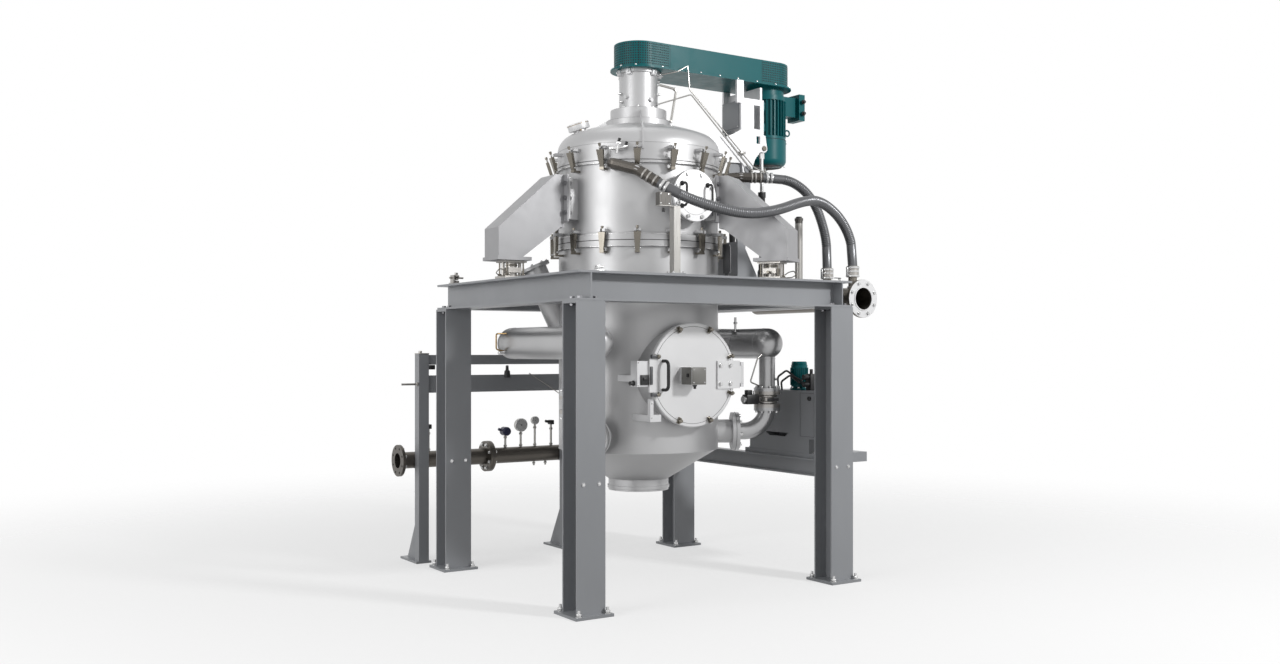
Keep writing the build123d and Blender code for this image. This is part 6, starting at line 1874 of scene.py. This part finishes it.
@dataclass
class PowerUnitTrim(Assembly):
    """Fins, caps, valve block, pipes and knobs of the power unit, and the door lines of its cabinet."""

    motor: Pair = (1.105, -0.47)
    tank_top: float = 1.316
    fins: int = 28
    fin_height: float = 1.415
    valve: Pair = (1.09, -0.62)
    coils: Pair = (1.36, 1.412)
    pipes: tuple[Pair, ...] = ((-0.345, 0.01), (-0.385, -0.025))  # start and rise
    door_x: float = 0.9735

    def pump(self) -> None:
        """The fins and the caps of the pump's motor, and the bolts round it."""
        x, y = self.motor
        fin = self.block("fin", (0.0075, 0.0028, 0.128), (0.0625, 0, 0), 0.0008)
        places = [Matrix.Translation((x, y, self.fin_height))
                  @ Matrix.Rotation(math.tau * (index + 0.5) / self.fins, 4, "Z") for index in range(self.fins)]
        self.deliver(self.pattern(fin, places, "pump_fins"), TEAL)
        caps = [self.hoop("pump_flange", (x, y, self.tank_top), UP, 0.04, 0.068, 0.012, 32),
                self.turned("pump_cover", [(0.054, 0.0), (0.056, 0.003), (0.056, 0.016), (0.05, 0.022),
                                           (0.0, 0.024)], 32)]
        self.place(caps[1], (x, y, 1.5))
        self.assemble("pump_caps", caps, TEAL)
        bolts = circle((x, y, self.tank_top + 0.012), UP, 0.056, 4, 45.0)
        bolts += [placing((sx, sy, 0.87)) for sx in (1.0, 1.27) for sy in (-0.745, -0.025)]
        self.deliver(self.bolts("power_unit_bolts", bolts, 0.017, 0.008), BRIGHT)

    def valves(self) -> None:
        """The valve block with its coils, the filler, the knob and the oil pipes."""
        x, y = self.valve
        block = [self.block("valve_block", (0.06, 0.056, 0.12), (x, y, self.tank_top + 0.06), 0.004)]
        block += [self.rod("valve_coil", (x - 0.03, y, z), (x - 0.078, y, z), 0.019) for z in self.coils]
        block += [self.rod("valve_top", (x, y, 1.434), (x, y, 1.47), 0.012),
                  self.turned("filler", [(0.022, 0.0), (0.026, 0.004), (0.026, 0.02), (0.02, 0.026),
                                         (0.0, 0.027)])]
        self.place(block[-1], (1.03, -0.3, self.tank_top))
        knob = self.turned("cabinet_knob", [(0.016, 0.0), (0.016, 0.01), (0.011, 0.015), (0.0, 0.016)], 20)
        self.place(knob, (0.974, -0.735, 1.262), LEFT)
        self.assemble("valve_block", block + [knob], BLACK)
        pipes = [self.line("oil_pipe", [(1.012, start, self.tank_top), (1.004, start, 1.4 + rise),
                                        (1.004, start - 0.1, 1.45 + rise), (1.004, start - 0.2, 1.4 + rise),
                                        (1.03, -0.59, 1.38 + rise / 2)], 0.0075, False)
                 for start, rise in self.pipes]
        self.assemble("oil_pipes", pipes, BLACK)

    def build(self) -> None:
        """Makes the fittings of the power unit."""
        self.pump()
        self.valves()
        x = self.door_x
        lines = [self.block("cabinet_line", (0.002, 0.15, 0.002), (x, -0.708, z), 0.0005) for z in (0.99, 1.3)]
        lines += [self.block("cabinet_line", (0.002, 0.002, 0.31), (x, y, 1.145), 0.0005)
                  for y in (-0.783, -0.633)]
        self.assemble("cabinet_lines", lines, SEAM)


@dataclass
class SensorTrim(Assembly):
    """Connectors, feet, bolts and screws of the two sensor posts."""

    post: Pair = (-0.337, -0.945)
    tube: Pair = (1.011, -0.575)
    table_top: float = 2.088
    foot: float = 0.01
    lens: Point = (-0.3815, -0.945, 2.562)
    gland: Point = (-0.427, -0.945, 2.508)
    neck: float = 2.524
    face: float = -0.967
    face_columns: Pair = (-0.4, -0.462)
    face_rows: Pair = (2.534, 2.592)
    tube_top: float = 2.56

    def build(self) -> None:
        """Makes the fittings."""
        x, y = self.tube
        parts = [self.block("sensor_lens", (0.006, 0.03, 0.05), self.lens, 0.002),
                 self.rod("sensor_gland", self.gland, (self.gland[0], self.gland[1], 2.482), 0.01),
                 self.rod("tube_cap", (x, y, self.tube_top), (x, y, self.tube_top + 0.012), 0.022)]
        self.assemble("sensor_parts", parts, BLACK)
        post_x, post_y = self.post
        places = [placing((post_x + 0.012, post_y + side * 0.016, self.neck)) for side in SIDES]
        places += [placing((column, self.face, row), FRONT) for column in self.face_columns
                   for row in self.face_rows]
        self.deliver(self.screws("sensor_screws", places, 0.005), BRIGHT)
        middle = self.table_top + self.foot / 2
        feet = [self.block("post_foot", (0.1, 0.1, self.foot), (post_x, post_y, middle), 0.002),
                self.hoop("tube_foot", (x, y, self.table_top), UP, 0.027, 0.06, self.foot, 32)]
        self.assemble("post_feet", feet, FRAME_PAINT)
        top = self.table_top + self.foot
        bolts = [placing((post_x + dx, post_y + dy, top)) for dx, dy in corners(0.038, 0.038)]
        bolts += circle((x, y, top), UP, 0.046, 4, 45.0)
        self.deliver(self.bolts("post_bolts", bolts, 0.015, 0.008), BRIGHT)


@dataclass
class Studio:
    """Camera, lamps, pale floor and white surroundings."""

    camera_at: Point = (-4.7381, -7.2723, 1.6024)
    turn: float = -33.16
    lens: float = 34.01
    rise: float = 0.0147
    sensor: float = 36.0
    soft: float = 0.36
    white: float = 1.0
    floor_radius: float = 9.0
    floor_fade: Pair = (2.0, 0.97)  # start, and end as a share of the radius
    floor_tones: Pair = (0.16, 0.42)  # in soft light, and as seen
    floor_glow: float = 0.56
    target: Point = (0.0, 0.0, 1.9)
    # name, place, side and power of each lamp
    lamps: tuple[tuple[str, Point, float, float], ...] = (
        ("key_lamp", (3.4, -7.6, 5.6), 1.0, 410.0), ("side_lamp", (-8.2, -1.2, 3.4), 4.0, 200.0),
        ("top_lamp", (0.0, 1.0, 8.0), 3.0, 28.0))

    def camera(self) -> None:
        """The camera at the photograph's angle."""
        data = bpy.data.cameras.new("camera")
        data.lens = self.lens
        data.sensor_width = self.sensor
        data.shift_y = self.rise
        data.clip_end = 200.0
        camera = new_object("camera", data)
        camera.location = self.camera_at
        camera.rotation_euler = (math.radians(90), 0, math.radians(self.turn))
        bpy.context.scene.camera = camera

    def lamp(self, name: str, place: Point, size: float, power: float) -> None:
        """A square lamp that points at the mill.

        Args:
            name: the lamp's name.
            place: where it hangs.
            size: the length of its side.
            power: its power in watts.
        """
        data = bpy.data.lights.new(name, "AREA")
        data.shape = "SQUARE"
        data.size = size
        data.energy = power
        lamp = new_object(name, data)
        lamp.location = place
        lamp.rotation_euler = (Vector(self.target) - Vector(place)).to_track_quat("-Z", "Y").to_euler()

    def seen(self, tree: bpy.types.NodeTree) -> Socket:
        """A value of 1 for rays from the camera, a reflection or glass, and 0 for soft light.

        Args:
            tree: the node tree that needs it.

        Returns:
            The value's socket.
        """
        path = tree.nodes.new("ShaderNodeLightPath")
        value = path.outputs["Is Camera Ray"]
        for ray in ("Is Glossy Ray", "Is Transmission Ray"):
            either = tree.nodes.new("ShaderNodeMath")
            either.operation = "MAXIMUM"
            tree.links.new(value, either.inputs[0])
            tree.links.new(path.outputs[ray], either.inputs[1])
            value = either.outputs[0]
        return value

    def world(self) -> None:
        """A soft grey light, seen as white by the camera and in reflections."""
        world = bpy.data.worlds.new("surroundings")
        world.use_nodes = True
        bpy.context.scene.world = world
        tree = world.node_tree
        background = tree.nodes["Background"]
        background.inputs["Color"].default_value = (1, 1, 1, 1)
        strength = tree.nodes.new("ShaderNodeMapRange")
        strength.inputs["To Min"].default_value = self.soft
        strength.inputs["To Max"].default_value = self.white
        tree.links.new(self.seen(tree), strength.inputs["Value"])
        tree.links.new(strength.outputs["Result"], background.inputs["Strength"])

    def floor_material(self) -> bpy.types.Material:
        """The floor's material: pale to the camera, darker to soft light, clear towards the rim.

        Returns:
            The material.
        """
        nodes = NodeSheet("pale_floor")
        shader = nodes.shader
        seen = self.seen(nodes.tree)
        nodes.link(nodes.spread(seen, *self.floor_tones, 0.0, 1.0), shader.inputs["Base Color"])
        shader.inputs["Emission Color"].default_value = (1, 1, 1, 1)
        nodes.link(nodes.spread(seen, 0.0, self.floor_glow, 0.0, 1.0), shader.inputs["Emission Strength"])
        shader.inputs["Roughness"].default_value = 0.9
        shader.inputs["Specular IOR Level"].default_value = 0.1
        length = nodes.add("ShaderNodeVectorMath", operation="LENGTH")
        nodes.link(nodes.coords.outputs["Object"], length.inputs[0])
        start, end = self.floor_fade
        fade = nodes.spread(length.outputs["Value"], 0.0, 1.0, start, end * self.floor_radius)
        fade.node.interpolation_type = "SMOOTHSTEP"
        mix = nodes.add("ShaderNodeMixShader")
        nodes.link(fade, mix.inputs["Fac"])
        nodes.link(shader.outputs["BSDF"], mix.inputs[1])
        nodes.link(nodes.add("ShaderNodeBsdfTransparent").outputs["BSDF"], mix.inputs[2])
        nodes.link(mix.outputs["Shader"], nodes.tree.nodes["Material Output"].inputs["Surface"])
        return nodes.material

    def floor(self) -> None:
        """A pale round floor that fades out into the white surroundings."""
        bpy.ops.object.select_all(action="DESELECT")
        bpy.ops.mesh.primitive_circle_add(vertices=96, radius=self.floor_radius, fill_type="NGON",
                                          location=(0, 0, 0))
        floor = bpy.context.object
        floor.name = "floor"
        floor.data.transform(Matrix.Translation((0, 0, -0.001)))
        floor.data.materials.append(self.floor_material())

    def build(self) -> None:
        """Sets everything up."""
        bpy.context.scene.view_settings.view_transform = "Standard"
        self.camera()
        self.world()
        self.floor()
        for name, place, size, power in self.lamps:
            self.lamp(name, place, size, power)


def main() -> None:
    """Builds the looks of the mill in order."""
    logging.basicConfig(level=logging.INFO, format="%(message)s")
    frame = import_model()
    for item in list(bpy.data.objects):
        if item.type in {"CAMERA", "LIGHT"} or item.name == "Cube":
            bpy.data.objects.remove(item)
    Studio().build()
    paints = Paintbox()
    paints.coat_nodes(frame["nodes"])
    for kind in (HoseSet, FrameFittings, VesselTrim, LatchPins, StubTrim, ArmTrim, DomeTrim, GuardTrim,
                 BearingTrim, MotorTrim, DoorTrim, PortTrim, HeaderTrim, ManifoldTrim, SupplyTrim, PowerUnitTrim,
                 SensorTrim):
        kind(paints).build()


if __name__ == "__main__":
    main()
